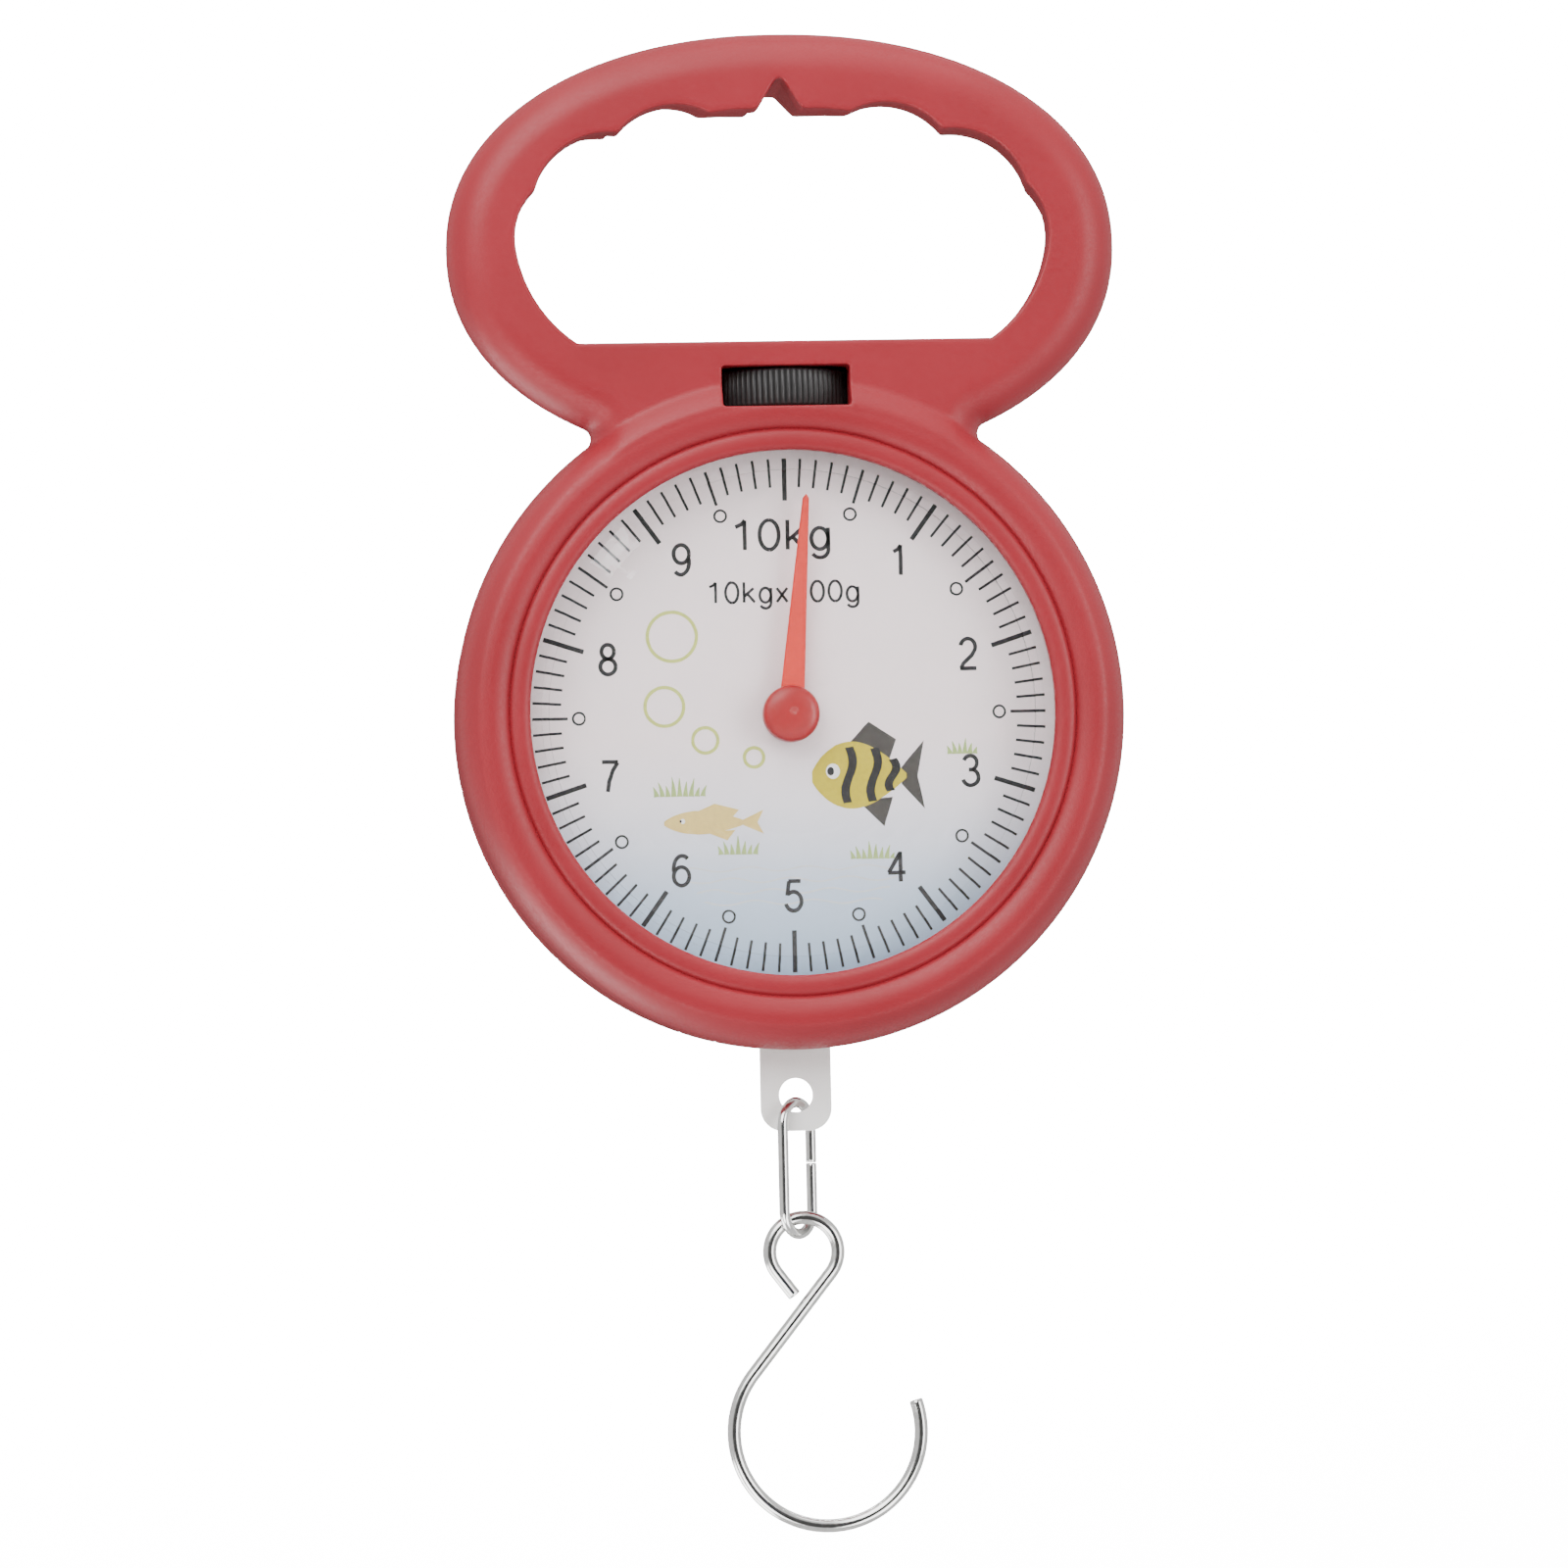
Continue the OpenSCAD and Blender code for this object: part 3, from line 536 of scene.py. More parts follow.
def rear_height(outline, grip):
    """Height of the back: a shallow handle, the flat dial back and the hump over the thumbwheel."""
    def height(p):
        d = distance(p, outline)
        base = (SPLIT - HANDLE_BACK) * rounding(d, REAR_EDGE, 2.1)
        from_edge = DIAL_R - REAR_INSET - from_dial(p)
        dial = SPLIT - BACK - BACK_EDGE + BACK_EDGE * rounding(from_edge, BACK_EDGE)
        dial = np.where(from_edge > 0, dial, 0)
        x = np.clip(np.abs(p[:, 0]) / -BACK, 0, 1)
        hump = SPLIT - BACK * np.sqrt(1 - x**2)
        hump = np.where((p[:, 1] > -52) & (np.abs(p[:, 0]) < -BACK), hump, 0)
        top = rounding(HANDLE_Z + GRIP_FLOOR - p[:, 1], HUMP_EDGE)
        hump = hump - HUMP_EDGE * (1 - top) * (hump > 0)
        k = 1.6 * np.clip(d / 3, 0, 1)
        body = smooth_max(smooth_max(base, dial, k), hump, k)
        body = np.minimum(body, SPLIT - BACK)
        return SPLIT - body + 0.5 * (1 - rounding(distance(p, grip), 0.5))
    return height


def rear_shell():
    outline = scale_outline(REAR_INSET)
    grip = grip_outline(REAR_GRIP)
    t = np.linspace(0, 2 * np.pi, 400, endpoint=False)
    turns = np.radians(np.linspace(0, 90, 13))[1:]
    extra = offsets(outline, REAR_EDGE * (1 - np.cos(turns)))
    extra += offsets(grip, [0.04, 0.15, 0.3, 0.5, 1.0], -1)
    radii = list(DIAL_R - REAR_INSET - BACK_EDGE * (1 - np.cos(turns))) + [39, 36, 30, 24, 18, 12, 6]
    for k, r in enumerate(radii):
        extra.append(circle(r, t + k * 0.007)[::1 if r > 35 else 6])
    extra = np.concatenate(extra + [grid(0.9, -56)])
    d = distance(extra, outline)
    keep = within(extra, outline) & ~within(extra, grip) & (d > 0.02) & (distance(extra, grip) > 0.03)
    obj = shell("shell_rear", outline, [grip], extra[keep], rear_height(outline, grip))
    cut(obj, disc_tool(0, DIAL_Z, BACK_BORE_R, BACK + 2, SPLIT + 1, 200))
    cut(obj, upright_tool(*WHEEL_WELL))
    cut(obj, box_tool(-6.2, 6.2, -1.8, 1.8, -135, -125))
    spots = [tuple(p) for p in circle(SCREW_CIRCLE_R, np.radians(SCREW_ANGLES))]
    spots += [(-HANDLE_SCREW_X, HANDLE_Z), (HANDLE_SCREW_X, HANDLE_Z)]
    for x, z in spots:
        cut(obj, disc_tool(x, z, SCREW_R, BACK - 2, SCREW_FLOOR, 40))
    clean(obj)
    finish_piece(obj, RED, "case", 35)
    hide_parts("rear_shell")


# ---------------------------------------------------------------- materials

def material(name):
    mat = bpy.data.materials.new(name)
    mat.use_nodes = True
    return mat, mat.node_tree.nodes, mat.node_tree.links, mat.node_tree.nodes["Principled BSDF"]


def coords(nodes, links, scale=(1, 1, 1)):
    source = nodes.new("ShaderNodeTexCoord")
    mapping = nodes.new("ShaderNodeMapping")
    mapping.inputs["Scale"].default_value = scale
    links.new(source.outputs["Object"], mapping.inputs["Vector"])
    return mapping.outputs["Vector"]


def noise(nodes, links, vector, scale, detail=3.0, rough=0.5):
    node = nodes.new("ShaderNodeTexNoise")
    node.inputs["Scale"].default_value = scale
    node.inputs["Detail"].default_value = detail
    node.inputs["Roughness"].default_value = rough
    links.new(vector, node.inputs["Vector"])
    return node.outputs["Fac"]


def ramp(nodes, links, fac, stops):
    node = nodes.new("ShaderNodeValToRGB")
    while len(node.color_ramp.elements) < len(stops):
        node.color_ramp.elements.new(0.5)
    for element, (at, colour) in zip(node.color_ramp.elements, stops):
        element.position = at
        element.color = (*colour, 1) if len(colour) == 3 else colour
    links.new(fac, node.inputs["Fac"])
    return node.outputs["Color"]


def grey(v):
    return (v, v, v)


def bump(nodes, links, height, strength, distance_m, chain=None):
    node = nodes.new("ShaderNodeBump")
    node.inputs["Strength"].default_value = strength
    node.inputs["Distance"].default_value = distance_m
    links.new(height, node.inputs["Height"])
    if chain is not None:
        links.new(chain, node.inputs["Normal"])
    return node.outputs["Normal"]


def mottle(nodes, links, bsdf, grain, colour, dip):
    """A base colour that darkens to dip of itself where the grain is low."""
    low = tuple(c * dip for c in colour)
    links.new(ramp(nodes, links, grain, [(0.3, low), (0.7, colour)]), bsdf.inputs["Base Color"])


def red_plastic():
    mat, nodes, links, bsdf = material("moulded_red")
    at = coords(nodes, links)
    cloud = noise(nodes, links, at, 60, 3)
    colour = ramp(nodes, links, cloud, [(0.3, (0.262, 0.013, 0.020)), (0.7, (0.297, 0.016, 0.025))])
    links.new(colour, bsdf.inputs["Base Color"])
    speck = noise(nodes, links, at, 2600, 2, 0.6)
    links.new(ramp(nodes, links, speck, [(0.35, grey(0.40)), (0.7, grey(0.52))]), bsdf.inputs["Roughness"])
    fine = bump(nodes, links, speck, 0.16, 0.00003)
    broad = noise(nodes, links, at, 130, 2)
    links.new(bump(nodes, links, broad, 0.10, 0.0002, fine), bsdf.inputs["Normal"])
    bsdf.inputs["IOR"].default_value = 1.46
    bsdf.inputs["Specular IOR Level"].default_value = 0.4
    bsdf.inputs["Subsurface Weight"].default_value = 0.08
    bsdf.inputs["Subsurface Radius"].default_value = (0.0012, 0.0003, 0.0003)
    bsdf.inputs["Subsurface Scale"].default_value = 1.0
    return mat


def metal(name, colour, rough, streak=(1, 1, 1), variation=0.08, metallic=1.0):
    mat, nodes, links, bsdf = material(name)
    at = coords(nodes, links, streak)
    grain = noise(nodes, links, at, 900, 4, 0.6)
    mottle(nodes, links, bsdf, grain, colour, 1 - variation)
    links.new(ramp(nodes, links, grain, [(0.25, grey(rough * 0.75)), (0.75, grey(rough * 1.3))]),
              bsdf.inputs["Roughness"])
    links.new(bump(nodes, links, grain, 0.2, 0.00001), bsdf.inputs["Normal"])
    bsdf.inputs["Metallic"].default_value = metallic
    return mat


def plastic(name, colour, rough):
    mat, nodes, links, bsdf = material(name)
    at = coords(nodes, links)
    grain = noise(nodes, links, at, 1500, 3, 0.6)
    mottle(nodes, links, bsdf, grain, colour, 0.85)
    links.new(ramp(nodes, links, grain, [(0.3, grey(rough * 0.85)), (0.7, grey(rough * 1.15))]),
              bsdf.inputs["Roughness"])
    links.new(bump(nodes, links, grain, 0.2, 0.00002), bsdf.inputs["Normal"])
    return mat


def ink(name, colour, rough=0.45):
    mat, nodes, links, bsdf = material(name)
    at = coords(nodes, links)
    grain = noise(nodes, links, at, 1800, 3, 0.6)
    mottle(nodes, links, bsdf, grain, colour, 0.88)
    bsdf.inputs["Roughness"].default_value = rough
    return mat


def card_material():
    """Pale card that turns to bluish water towards the bottom."""
    mat, nodes, links, bsdf = material("printed_card")
    at = coords(nodes, links)
    split = nodes.new("ShaderNodeSeparateXYZ")
    links.new(at, split.inputs["Vector"])
    level = nodes.new("ShaderNodeMapRange")
    level.inputs["From Min"].default_value = -0.1235
    level.inputs["From Max"].default_value = -0.047
    links.new(split.outputs["Z"], level.inputs["Value"])
    stops = [(0.0, (0.30, 0.42, 0.58)), (0.18, (0.46, 0.56, 0.70))]
    stops += [(0.34, (0.78, 0.74, 0.80)), (0.46, (0.88, 0.76, 0.78))]
    colour = ramp(nodes, links, level.outputs["Result"], stops)
    grain = noise(nodes, links, at, 2200, 3, 0.6)
    mix = nodes.new("ShaderNodeMix")
    mix.data_type = "RGBA"
    mix.blend_type = "MULTIPLY"
    mix.inputs["Factor"].default_value = 1.0
    links.new(colour, mix.inputs["A"])
    links.new(ramp(nodes, links, grain, [(0.3, grey(0.96)), (0.7, grey(1.0))]), mix.inputs["B"])
    links.new(mix.outputs["Result"], bsdf.inputs["Base Color"])
    bsdf.inputs["Roughness"].default_value = 0.5
    links.new(bump(nodes, links, grain, 0.1, 0.00001), bsdf.inputs["Normal"])
    return mat


def clear_plastic():
    """Clear styrene. Lamps shine straight through it, as they do through a thin window."""
    mat, nodes, links, bsdf = material("clear_styrene")
    bsdf.inputs["Base Color"].default_value = (0.99, 0.995, 0.99, 1)
    bsdf.inputs["Transmission Weight"].default_value = 1.0
    bsdf.inputs["IOR"].default_value = 1.45
    at = coords(nodes, links)
    grain = noise(nodes, links, at, 900, 2)
    links.new(ramp(nodes, links, grain, [(0.4, grey(0.01)), (0.75, grey(0.035))]), bsdf.inputs["Roughness"])
    path = nodes.new("ShaderNodeLightPath")
    clear = nodes.new("ShaderNodeBsdfTransparent")
    mix = nodes.new("ShaderNodeMixShader")
    links.new(path.outputs["Is Shadow Ray"], mix.inputs["Fac"])
    links.new(bsdf.outputs["BSDF"], mix.inputs[1])
    links.new(clear.outputs["BSDF"], mix.inputs[2])
    links.new(mix.outputs["Shader"], nodes["Material Output"].inputs["Surface"])
    return mat


RED = red_plastic()
BLACK = plastic("ribbed_black", (0.022, 0.022, 0.022), 0.42)
NYLON = plastic("natural_nylon", (0.78, 0.77, 0.72), 0.5)
BRIGHT = metal("bright_strip", (1.0, 0.985, 0.96), 0.45, (1, 1, 14), 0.03, metallic=0.1)
WIRE = metal("drawn_wire", (0.66, 0.655, 0.64), 0.16, variation=0.12)
ZINC = metal("zinc_plate", (0.60, 0.60, 0.58), 0.34, (14, 1, 1), 0.12)
SCREW = metal("screw_steel", (0.52, 0.52, 0.51), 0.3)
SPRING = metal("spring_steel", (0.42, 0.41, 0.39), 0.3)
BRASS = metal("brass", (0.72, 0.53, 0.22), 0.28)
CARDBOARD = card_material()
CLEAR = clear_plastic()
BLADE = ink("pointer_salmon", (0.62, 0.030, 0.018), 0.4)
HUB = ink("pointer_red", (0.32, 0.010, 0.012), 0.35)
BLACK_INK = ink("black_ink", (0.010, 0.009, 0.010))
YELLOW = ink("yellow_ink", (0.50, 0.40, 0.012))
PALE_YELLOW = ink("pale_yellow_ink", (0.68, 0.50, 0.16))
LIME = ink("lime_ink", (0.50, 0.54, 0.14))
GREEN = ink("green_ink", (0.34, 0.44, 0.16))
WHITE_INK = ink("white_ink", (0.82, 0.81, 0.80))
DARK = ink("fin_ink", (0.045, 0.040, 0.036))
MIST = ink("mist_ink", (0.60, 0.62, 0.66))


def dress():
    """Gives each CAD part that stays as it is its surface."""
    wanted = (
        (CLEAR, ("lens",)),
        (CARDBOARD, ("dial_card",)),
        (ZINC, ("movement_plate", "bridge", "yoke", "spring_crossbar")),
        (SCREW, ("plate_screws", "bridge_rivets", "crossbar_rivets", "case_screws")),
        (SCREW, ("thrust_washer", "zero_screw", "yoke_pin", "arbor")),
        (BRASS, ("arbor_bush", "rear_bush", "rack", "rack_rivets", "pinion")),
        (NYLON, ("tang_guide",)),
        (BRIGHT, ("draw_bar",)),
    )
    for mat, names in wanted:
        for name in names:
            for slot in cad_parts[name].material_slots:
                slot.material = mat


# ---------------------------------------------------------------- thumbwheel, pointer, wires, springs

def thumbwheel():
    """A ribbed wheel: rounded ribs whose ends are bevelled at both faces, and a dished top."""
    ribs = 74
    per_rib = 8
    t = np.linspace(0, 2 * np.pi, ribs * per_rib, endpoint=False)
    wave = (0.5 + 0.5 * np.cos(t * ribs)) ** 0.6

    def ring(r, z):
        return place(np.stack([r * np.cos(t), r * np.sin(t), 0 * t + WHEEL_Z + z], 1))

    rings = []
    half = WHEEL_HALF
    levels = [(-half, 0.45, 0.2), (-2.4, 0.2, 0.6), (-2.15, 0.0, 1.0)]
    levels += [(-z, inset, depth) for z, inset, depth in levels[::-1]]
    for z, inset, depth in levels:
        rings.append(ring(WHEEL_R - inset - 0.34 * depth * (1 - wave), z))
    hub = ((7.6, half), (7.2, 2.1), (3.4, 2.1), (3.0, half), (1.55, half), (1.55, -half), (7.6, -half))
    for r, z in hub:
        rings.append(ring(r, z))
    verts, faces = loft(rings + [rings[0]], caps=False)
    obj = piece("zero_thumbwheel", verts, faces, BLACK, "adjuster_wheel", "black_plastic", 50)
    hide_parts("zero_wheel")


def turned_about_dial(points):
    """Points of the upright pointer, turned clockwise to where it rests."""
    a = math.radians(POINTER_TURN)
    p = np.asarray(points, dtype=float)
    x = p[:, 0] * math.cos(a) + p[:, 2] * math.sin(a)
    z = -p[:, 0] * math.sin(a) + p[:, 2] * math.cos(a)
    return place(np.stack([x, p[:, 1], z + DIAL_Z], 1))


def pointer():
    root = 1.75
    neck = 0.42
    tip_r = 0.45
    low = 5.45
    top = 6.15
    rings = []
    for z in POINTER_LEN * np.linspace(0, 1, 60):
        half = root + (neck - root) * min(1.0, z / (POINTER_LEN - 0.4))
        left = POINTER_LEN - z
        if left < tip_r:
            half = math.sqrt(max(0.0, tip_r**2 - (tip_r - left) ** 2)) * 0.93
        half = max(half, 0.05)
        soft = min(0.15, half * 0.5)
        under = [(-half, low + soft, z), (-half + soft, low, z), (half - soft, low, z), (half, low + soft, z)]
        over = [(half, top - soft, z), (half - soft, top, z), (-half + soft, top, z), (-half, top - soft, z)]
        rings.append(turned_about_dial(under + over))
    blade = piece("pointer_blade", *loft(rings), BLADE, "pointer", "pointer_red", 30)
    profile = [(1.02, 5.0), (3.5, 5.0), (3.8, 5.25), (3.8, 6.9), (3.68, 7.3), (3.35, 7.62)]
    profile += [(2.6, 7.85), (1.4, 7.97), (0.3, 8.0), (0.02, 8.0), (0.02, 6.4), (1.02, 6.4)]
    hub = piece("pointer_hub", *revolve(profile, 96), HUB, "pointer", "pointer_red", 40)
    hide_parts("pointer")
    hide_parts("pointer")


def link_path():
    """The link's centre line from one side of the butt gap round to the other."""
    end = LINK_TOP - LINK_LEN + 2 * LINK_WIRE + LINK_R
    top = LINK_TOP - LINK_R
    up = np.linspace(0, math.pi, 40)
    down = np.linspace(math.pi, 2 * math.pi, 40)
    pts = [(LINK_R, z) for z in np.linspace(GAP_Z + GAP_HALF, top, 14)[:-1]]
    pts += [(LINK_R * math.cos(t), top + LINK_R * math.sin(t)) for t in up]
    pts += [(-LINK_R, z) for z in np.linspace(top, end, 24)[1:-1]]
    pts += [(LINK_R * math.cos(t), end + LINK_R * math.sin(t)) for t in down]
    pts += [(LINK_R, z) for z in np.linspace(end, GAP_Z - GAP_HALF, 20)[1:]]
    a = math.radians(LINK_TURN)
    return np.array([(u * math.sin(a), u * math.cos(a), z) for u, z in pts]) * MM


def link():
    verts, faces = sweep(link_path(), LINK_WIRE * MM, 24, ends=0.12)
    obj = piece("wire_link", verts, faces, WIRE, "link", "wire_steel", 50)
    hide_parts("link")


def hook_path():
    """The hook's centre line: the eye's tail, the eye, the slanting shank and the bowl."""
    ex, ez = EYE
    bx, bz = BOWL
    reach = math.hypot(bx - ex, bz - ez)
    lean = math.asin((EYE_R + BOWL_R) / reach) - math.atan2(bx - ex, ez - bz)
    tail = math.radians(EYE_END)
    end = (ex + EYE_R * math.cos(tail), ez + EYE_R * math.sin(tail))
    way = (math.cos(tail + math.pi / 2), math.sin(tail + math.pi / 2))
    pts = [(end[0] + way[0] * s, end[1] + way[1] * s) for s in np.linspace(EYE_TAIL, 0, 12)]
    pts += [(ex + EYE_R * math.cos(t), ez + EYE_R * math.sin(t)) for t in np.linspace(tail, -lean, 70)[1:]]
    start = pts[-1]
    stop = (bx + BOWL_R * math.cos(math.pi - lean), bz + BOWL_R * math.sin(math.pi - lean))
    pts += [(start[0] + (stop[0] - start[0]) * s, start[1] + (stop[1] - start[1]) * s)
            for s in np.linspace(0, 1, 34)[1:-1]]
    pts += [(bx + BOWL_R * math.cos(t), bz + BOWL_R * math.sin(t))
            for t in np.linspace(math.pi - lean, 2 * math.pi + math.radians(TIP_RISE), 120)]
    return np.array([(x, 0, z) for x, z in pts]) * MM


def hook():
    verts, faces = sweep(hook_path(), HOOK_WIRE * MM, 28, ends=0.14)
    obj = piece("s_hook", verts, faces, WIRE, "hook", "wire_steel", 50)
    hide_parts("hook")


def spring(side, name):
    """One close-wound extension spring with a hooked eye at each end."""
    x0 = SPRING_X * side
    h0 = SPRING_H
    r = SPRING_R
    top = SPRING_TOP - SPRING_WIRE
    low = SPRING_LOW + SPRING_WIRE
    t = np.linspace(0, 2 * math.pi * SPRING_TURNS, SPRING_TURNS * 22)
    coil = [(x0 + r * math.sin(a), h0 + r * math.cos(a), top + (low - top) * a / t[-1]) for a in t]

    def eye(z_end, way):
        zc = z_end + way * 2.65
        ring = [(x0, h0 + 2 * math.sin(a), zc - way * 2 * math.cos(a)) for a in np.linspace(0.35, 5.6, 26)]
        lead = [(x0, h0 + r * (1 - s) + 0.68 * s, z_end + way * 0.55 * s) for s in np.linspace(0, 0.9, 5)]
        return lead + ring

    path = np.array(eye(top, 1)[::-1] + coil[1:-1] + eye(low, -1))
    apart = np.concatenate([[True], np.linalg.norm(np.diff(path, axis=0), axis=1) > 0.05])
    verts, faces = sweep(place(path[apart]), SPRING_WIRE * MM * 0.985, 10)
    obj = piece(name, verts, faces, SPRING, None, "spring_steel", 60)
    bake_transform(obj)
    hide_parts("spring_left" if side < 0 else "spring_right")


# ---------------------------------------------------------------- printing on the card

def solid_prints(name, shapes, mat, level=INK):
    """Thin raised ink: each shape is a closed polygon of (x, z) about the dial's centre, in millimetres."""
    verts = []
    faces = []
    for shape in shapes:
        low = [(x, CARD - 0.02, z + DIAL_Z) for x, z in shape]
        high = [(x, CARD + level, z + DIAL_Z) for x, z in shape]
        v, f = loft([place(low), place(high)])
        faces += [tuple(i + len(verts) for i in face) for face in f]
        verts += [tuple(p) for p in v]
    return piece(name, verts, faces, mat, "case", "card", 30)


def bar_at(angle, r0, r1, w):
    """A radial bar, its angle clockwise from the top."""
    a = math.radians(angle)
    out = (math.sin(a), math.cos(a))
    side = (out[1] * w / 2, -out[0] * w / 2)
    return [(out[0] * r0 - side[0], out[1] * r0 - side[1]), (out[0] * r0 + side[0], out[1] * r0 + side[1]),
            (out[0] * r1 + side[0], out[1] * r1 + side[1]), (out[0] * r1 - side[0], out[1] * r1 - side[1])]


def strip(path, w, taper=False):
    """A ribbon of width w along a path."""
    p = np.asarray(path, dtype=float)
    t = np.gradient(p, axis=0)
    t /= np.linalg.norm(t, axis=1)[:, None]
    n = np.stack([-t[:, 1], t[:, 0]], 1)
    half = np.full(len(p), w / 2)
    if taper:
        half = half * np.linspace(1, 0.12, len(p))
    return [tuple(v) for v in p + n * half[:, None]] + [tuple(v) for v in (p - n * half[:, None])[::-1]]


def annulus(cx, cz, r, w, n=64):
    """A ring as two half ribbons, so that each is a simple polygon."""
    halves = []
    for a0 in (0, math.pi):
        path = [(cx + r * math.cos(a), cz + r * math.sin(a)) for a in np.linspace(a0, a0 + math.pi, n // 2)]
        halves.append(strip(path, w))
    return halves


def scale_marks():
    """A hundred marks of 100 g: long ones at each kilogram, and a small ring at each half."""
    bars = []
    rings = []
    for k in range(100):
        angle = k * 3.6
        if k % 10 == 0:
            bars.append(bar_at(angle, 28.9, MARK_END, 0.62))
        elif k % 5 == 0:
            bars.append(bar_at(angle, 29.8, MARK_END, 0.38))
            a = math.radians(angle)
            rings += annulus(HALF_MARK_R * math.sin(a), HALF_MARK_R * math.cos(a), 0.8, 0.28, 24)
        else:
            bars.append(bar_at(angle, 30.7, MARK_END, 0.34))
    solid_prints("scale_marks", bars, BLACK_INK)
    solid_prints("half_marks", rings, BLACK_INK)


def bend(cx, cz, a, b, t0, t1, n=18):
    """Part of an ellipse, its angles in degrees anticlockwise from the right."""
    return [(cx + a * math.cos(t), cz + b * math.sin(t)) for t in np.radians(np.linspace(t0, t1, n))]


def glyph(letter):
    """Centre lines of a plain sans letter one unit high."""
    return {
        "0": [bend(0.3, 0.5, 0.25, 0.5, 90, 270), bend(0.3, 0.5, 0.25, 0.5, 270, 450)],
        "1": [[(0.36, 0.0), (0.36, 1.0)], [(0.37, 1.0), (0.28, 0.87), (0.12, 0.78)]],
        "2": [bend(0.3, 0.73, 0.25, 0.27, 170, -25) + [(0.42, 0.44), (0.14, 0.17), (0.05, 0.0)],
              [(0.02, 0.0), (0.57, 0.0)]],
        "3": [bend(0.28, 0.76, 0.22, 0.24, 160, -75), bend(0.28, 0.27, 0.27, 0.27, 75, -165),
              [(0.22, 0.53), (0.36, 0.53)]],
        "4": [[(0.43, 0.0), (0.43, 1.0)], [(0.43, 0.97), (0.03, 0.31)], [(0.01, 0.30), (0.60, 0.30)]],
        "5": [[(0.13, 1.0), (0.54, 1.0)], [(0.15, 1.0), (0.08, 0.52)],
              bend(0.29, 0.32, 0.27, 0.32, 130, -165)],
        "6": [bend(0.31, 0.31, 0.26, 0.31, 0, 360, 30), bend(0.34, 0.55, 0.29, 0.45, 50, 190)],
        "7": [[(0.03, 1.0), (0.57, 1.0)], [(0.56, 0.98), (0.38, 0.70), (0.26, 0.36), (0.21, 0.0)]],
        "8": [bend(0.3, 0.76, 0.21, 0.24, 0, 360, 28), bend(0.3, 0.26, 0.26, 0.26, 0, 360, 30)],
        "9": [bend(0.29, 0.69, 0.26, 0.31, 0, 360, 30), bend(0.26, 0.45, 0.29, 0.45, 230, 370)],
        "k": [[(0.08, 0.0), (0.08, 1.0)], [(0.46, 0.7), (0.09, 0.31)], [(0.21, 0.43), (0.50, 0.0)]],
        "g": [bend(0.28, 0.35, 0.22, 0.36, 0, 360, 28),
              [(0.5, 0.71), (0.5, 0.1)] + bend(0.28, -0.02, 0.22, 0.27, 10, -150, 12)],
        "x": [[(0.03, 0.0), (0.45, 0.7)], [(0.45, 0.0), (0.03, 0.7)]],
    }[letter]


def lettering(name, text, x, z, height, width=None):
    """Letters drawn as ribbons of ink, centred on (x, z) about the dial's centre."""
    pen = 0.0
    lines = []
    for letter in text:
        lines += [[(px + pen, pz) for px, pz in stroke] for stroke in glyph(letter)]
        pen += (0.5 if letter in "kx" else 0.56) + 0.14
    flat = np.array([p for line in lines for p in line])
    mid = (flat[:, 0].max() + flat[:, 0].min()) / 2
    wide = height if width is None else width / (flat[:, 0].max() - flat[:, 0].min())
    shapes = []
    for line in lines:
        at = [((px - mid) * wide + x, (pz - 0.5) * height + z) for px, pz in line]
        shapes.append(strip(at, PEN * height))
    solid_prints(name, shapes, BLACK_INK)


def numerals():
    """The kilograms on their circle, three of them moved a little, and the two lines of lettering."""
    moved = {4: (-1.0, 0.0), 5: (0.0, 1.2), 9: (0.9, 0.5)}
    for k in range(1, 10):
        a = math.radians(k * 36)
        dx, dz = moved.get(k, (0.0, 0.0))
        x = NUMERAL_R * math.sin(a) + dx
        z = NUMERAL_R * math.cos(a) + dz
        lettering(f"numeral_{k}", str(k), x, z, NUMERAL_H)
    lettering("full_load", "10kg", -0.5, 24.3, NUMERAL_H, 12.5)
    lettering("divisions", "10kgx100g", -0.4, 16.6, 2.75, 20.0)


def ellipse(cx, cz, a, b, tilt=0.0, n=36):
    c, s = math.cos(math.radians(tilt)), math.sin(math.radians(tilt))
    out = []
    for t in np.linspace(0, 2 * math.pi, n, endpoint=False):
        x, z = a * math.cos(t), b * math.sin(t)
        out.append((cx + x * c - z * s, cz + x * s + z * c))
    return out


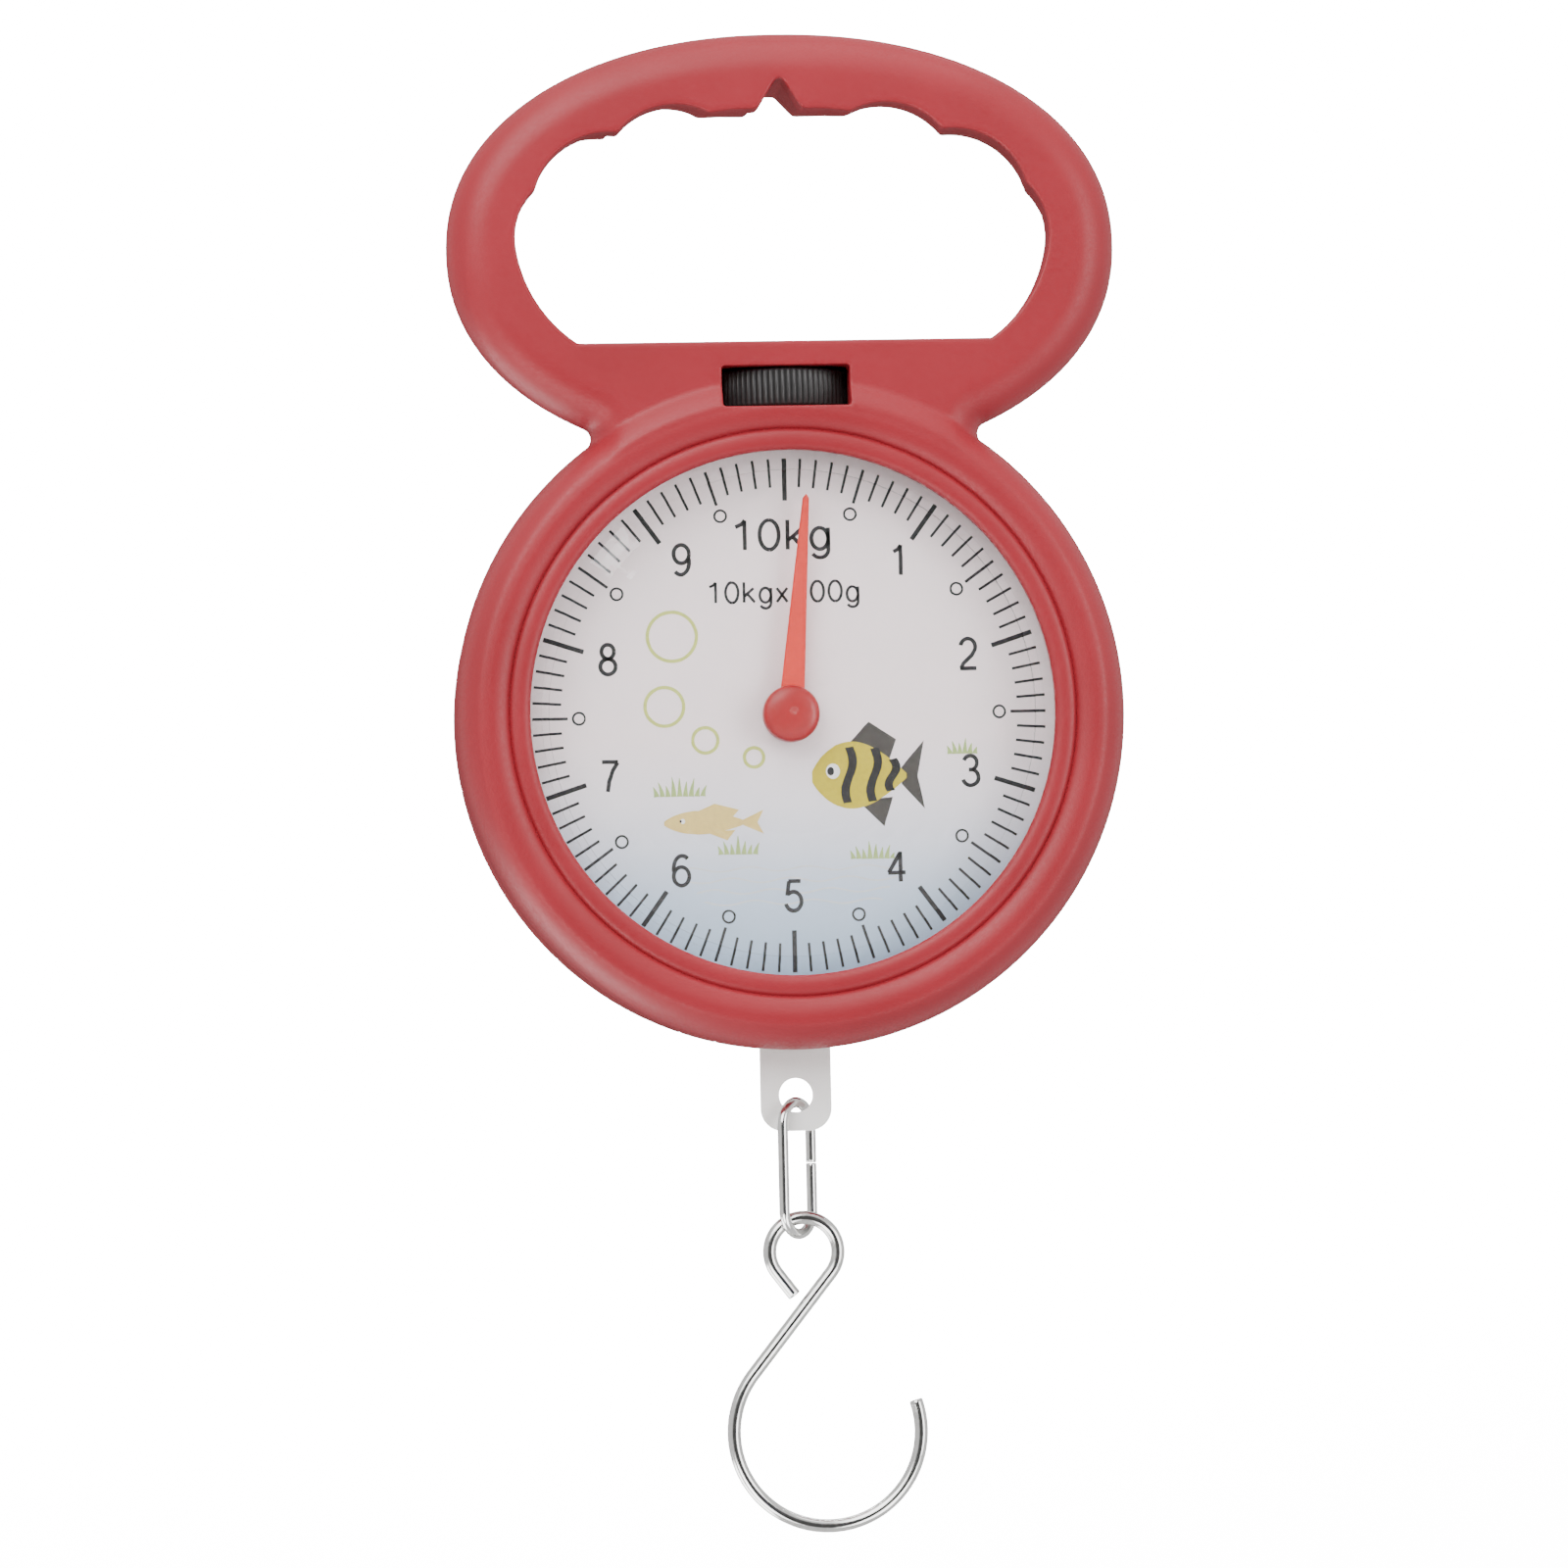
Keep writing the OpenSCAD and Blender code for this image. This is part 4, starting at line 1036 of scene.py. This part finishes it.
def fish(name, cx, cz, length, height, facing, body_ink, fin_ink, stripes):
    """A plain fish: an oval body, fins, bands and an eye."""
    def shape(points):
        return [(cx + x * length * facing, cz + z * height) for x, z in points]

    back = [(-0.5 + 0.86 * s, 0.5 * math.sin(math.pi * s**0.8) ** 0.9) for s in np.linspace(0.02, 0.98, 24)]
    body = back + [(x, -0.92 * z) for x, z in back[::-1]]
    tail = [(0.3, 0.12), (0.5, 0.5), (0.44, 0.0), (0.5, -0.48), (0.3, -0.12)]
    top_fin = [(-0.22, 0.36), (0.02, 0.78), (0.26, 0.52), (0.2, 0.25)]
    low_fin = [(-0.08, -0.36), (0.14, -0.72), (0.22, -0.3)]
    solid_prints(name + "_fins", [shape(tail), shape(top_fin), shape(low_fin)], fin_ink)
    solid_prints(name + "_body", [shape(body)], body_ink, 0.04)
    if stripes:
        bands = []
        for x, reach in ((-0.16, 0.42), (0.06, 0.40), (0.22, 0.24)):
            mid = [(x + 0.035 * math.sin(3 * s), s * reach) for s in np.linspace(-0.9, 1, 12)]
            bands.append(shape(strip(mid, 0.075)))
        solid_prints(name + "_bands", bands, BLACK_INK, 0.05)
    eye_x = cx - 0.3 * length * facing
    eye_z = cz + 0.08 * height
    solid_prints(name + "_eye", [ellipse(eye_x, eye_z, 0.1 * height, 0.11 * height)], WHITE_INK, 0.06)
    pupil = ellipse(eye_x - 0.02 * length * facing, eye_z, 0.05 * height, 0.06 * height)
    solid_prints(name + "_pupil", [pupil], BLACK_INK, 0.07)


def weed(name, cx, cz, w, h, blades):
    """A tuft whose blades lean outwards from its middle."""
    shapes = []
    for k in range(blades):
        s = (k + 0.5) / blades - 0.5
        lean = s * 1.6
        tall = h * (1 - 1.1 * abs(s) + 0.18 * math.sin(k * 2.4))
        base = (cx + s * w, cz - h / 2)
        path = [(base[0] + lean * tall * 0.5 * u**1.6, base[1] + tall * u) for u in np.linspace(0, 1, 8)]
        shapes.append(strip(path, 0.75, taper=True))
    solid_prints(name, shapes, GREEN)


def picture():
    """A small underwater scene of this model's own design."""
    rings = []
    for x, z, r in ((-15.6, 10.8, 3.3), (-16.8, 1.4, 2.6), (-11.4, -3.2, 1.7), (-4.9, -5.6, 1.3)):
        rings += annulus(x, z, r, 0.46)
    solid_prints("bubbles", rings, LIME)
    weed("weed_a", -15.0, -9.4, 7.0, 2.6, 9)
    weed("weed_b", -7.3, -17.5, 5.4, 2.2, 7)
    weed("weed_c", 10.8, -18.4, 6.0, 2.2, 8)
    weed("weed_d", 23.2, -4.6, 4.0, 2.0, 6)
    ripples = []
    for k in range(4):
        level = -20.6 - 1.5 * k
        across = np.linspace(-15 + k, 15 - k, 60)
        ripples.append(strip([(x, level + 0.3 * math.sin(x * 0.8 + k * 1.9)) for x in across], 0.22))
    solid_prints("ripples", ripples, MIST, 0.02)
    fish("large_fish", 10.3, -8.4, 15.4, 9.4, 1, YELLOW, DARK, True)
    fish("small_fish", -10.6, -14.3, 13.6, 3.3, 1, PALE_YELLOW, PALE_YELLOW, False)


# ---------------------------------------------------------------- stage, lights and camera

def stage():
    """A pale floor that sweeps up into a pale wall far behind."""
    rows = [(y, FLOOR) for y in (-3.0, -1.0, 0.0, SWEEP_FROM)]
    for t in np.linspace(0.1, math.pi / 2, 16):
        rows.append((SWEEP_FROM + SWEEP_R * math.sin(t), FLOOR + SWEEP_R * (1 - math.cos(t))))
    rows.append((SWEEP_FROM + SWEEP_R, 4.0))
    verts = [(x, y, z) for y, z in rows for x in (-4.0, 4.0)]
    faces = [(2 * k, 2 * k + 1, 2 * k + 3, 2 * k + 2) for k in range(len(rows) - 1)]
    mesh = bpy.data.meshes.new("backdrop")
    mesh.from_pydata(verts, [], faces)
    obj = bpy.data.objects.new("backdrop", mesh)
    bpy.context.collection.objects.link(obj)
    mat, nodes, links, bsdf = material("backdrop_paper")
    bsdf.inputs["Base Color"].default_value = (0.93, 0.93, 0.93, 1)
    bsdf.inputs["Roughness"].default_value = 0.9
    obj.data.materials.append(mat)
    obj.visible_diffuse = False
    obj.visible_glossy = False
    shade(obj, 60)


def lamp(name, where, size, power, aim=(0, 0, -0.09)):
    """A rectangular soft lamp, in metres and watts."""
    data = bpy.data.lights.new(name, "AREA")
    data.shape = "RECTANGLE"
    data.size, data.size_y = size
    data.energy = power
    obj = bpy.data.objects.new(name, data)
    obj.location = where
    obj.rotation_euler = (Vector(where) - Vector(aim)).to_track_quat("Z", "Y").to_euler()
    bpy.context.collection.objects.link(obj)


def lights():
    """A white room that is bright all round and dim in front and behind, and soft lamps."""
    world = bpy.data.worlds.new("studio")
    bpy.context.scene.world = world
    world.use_nodes = True
    nodes, links = world.node_tree.nodes, world.node_tree.links
    back = nodes["Background"]
    around = nodes.new("ShaderNodeTexCoord")
    split = nodes.new("ShaderNodeSeparateXYZ")
    links.new(around.outputs["Generated"], split.inputs[0])
    depth = nodes.new("ShaderNodeMath")
    depth.operation = "ABSOLUTE"
    links.new(split.outputs["Y"], depth.inputs[0])
    fade = nodes.new("ShaderNodeMapRange")
    fade.inputs["From Min"].default_value = 0.70
    fade.inputs["From Max"].default_value = 0.90
    fade.inputs["To Min"].default_value = 1.15
    fade.inputs["To Max"].default_value = 0.10
    links.new(depth.outputs[0], fade.inputs["Value"])
    back.inputs["Color"].default_value = (1, 1, 1, 1)
    links.new(fade.outputs[0], back.inputs["Strength"])
    lamp("key", (-0.45, -0.9, 0.6), (0.9, 0.9), 17)
    lamp("fill", (0.8, -0.8, 0.0), (0.5, 0.8), 8)
    lamp("top", (0.0, -0.2, 0.7), (0.9, 0.5), 3)
    lamp("low_left", (-0.5, -0.8, -0.7), (0.6, 0.6), 10)
    lamp("low_right", (0.5, -0.8, -0.7), (0.6, 0.6), 9)
    lamp("under", (-0.5, 0.1, -0.6), (0.5, 0.5), 6)
    lamp("wall_light", (0, 0.6, 1.6), (2.5, 0.6), 1150, aim=(0, 1.6, 1.25))


def camera():
    """A long lens, 1.2 m away, a little to the left of the dial's axis, a little below it and rolled."""
    az, el, roll = math.radians(-4.54), math.radians(-2.99), math.radians(1.28)
    far = 1.2
    away = Vector((math.sin(az) * math.cos(el), -math.cos(az) * math.cos(el), math.sin(el)))
    right = (-away).cross(Vector((0, 0, 1))).normalized()
    up = right.cross(-away).normalized()
    up, right = up * math.cos(roll) + right * math.sin(roll), right * math.cos(roll) - up * math.sin(roll)
    look = Vector((0, -0.006, DIAL_Z * MM)) - right * (0.924 * MM) - up * (9.3918 * MM)
    data = bpy.data.cameras.new("camera")
    data.sensor_width = 36
    data.lens = 205.4
    data.clip_end = 20
    obj = bpy.data.objects.new("camera", data)
    rot = Matrix((right, up, away)).transposed().to_4x4()
    obj.matrix_world = Matrix.Translation(look + away * far) @ rot
    bpy.context.collection.objects.link(obj)
    bpy.context.scene.camera = obj


camera()
stage()
lights()
dress()
front_shell()
rear_shell()
thumbwheel()
pointer()
link()
hook()
spring(-1, "coil_left")
spring(1, "coil_right")
scale_marks()
numerals()
picture()
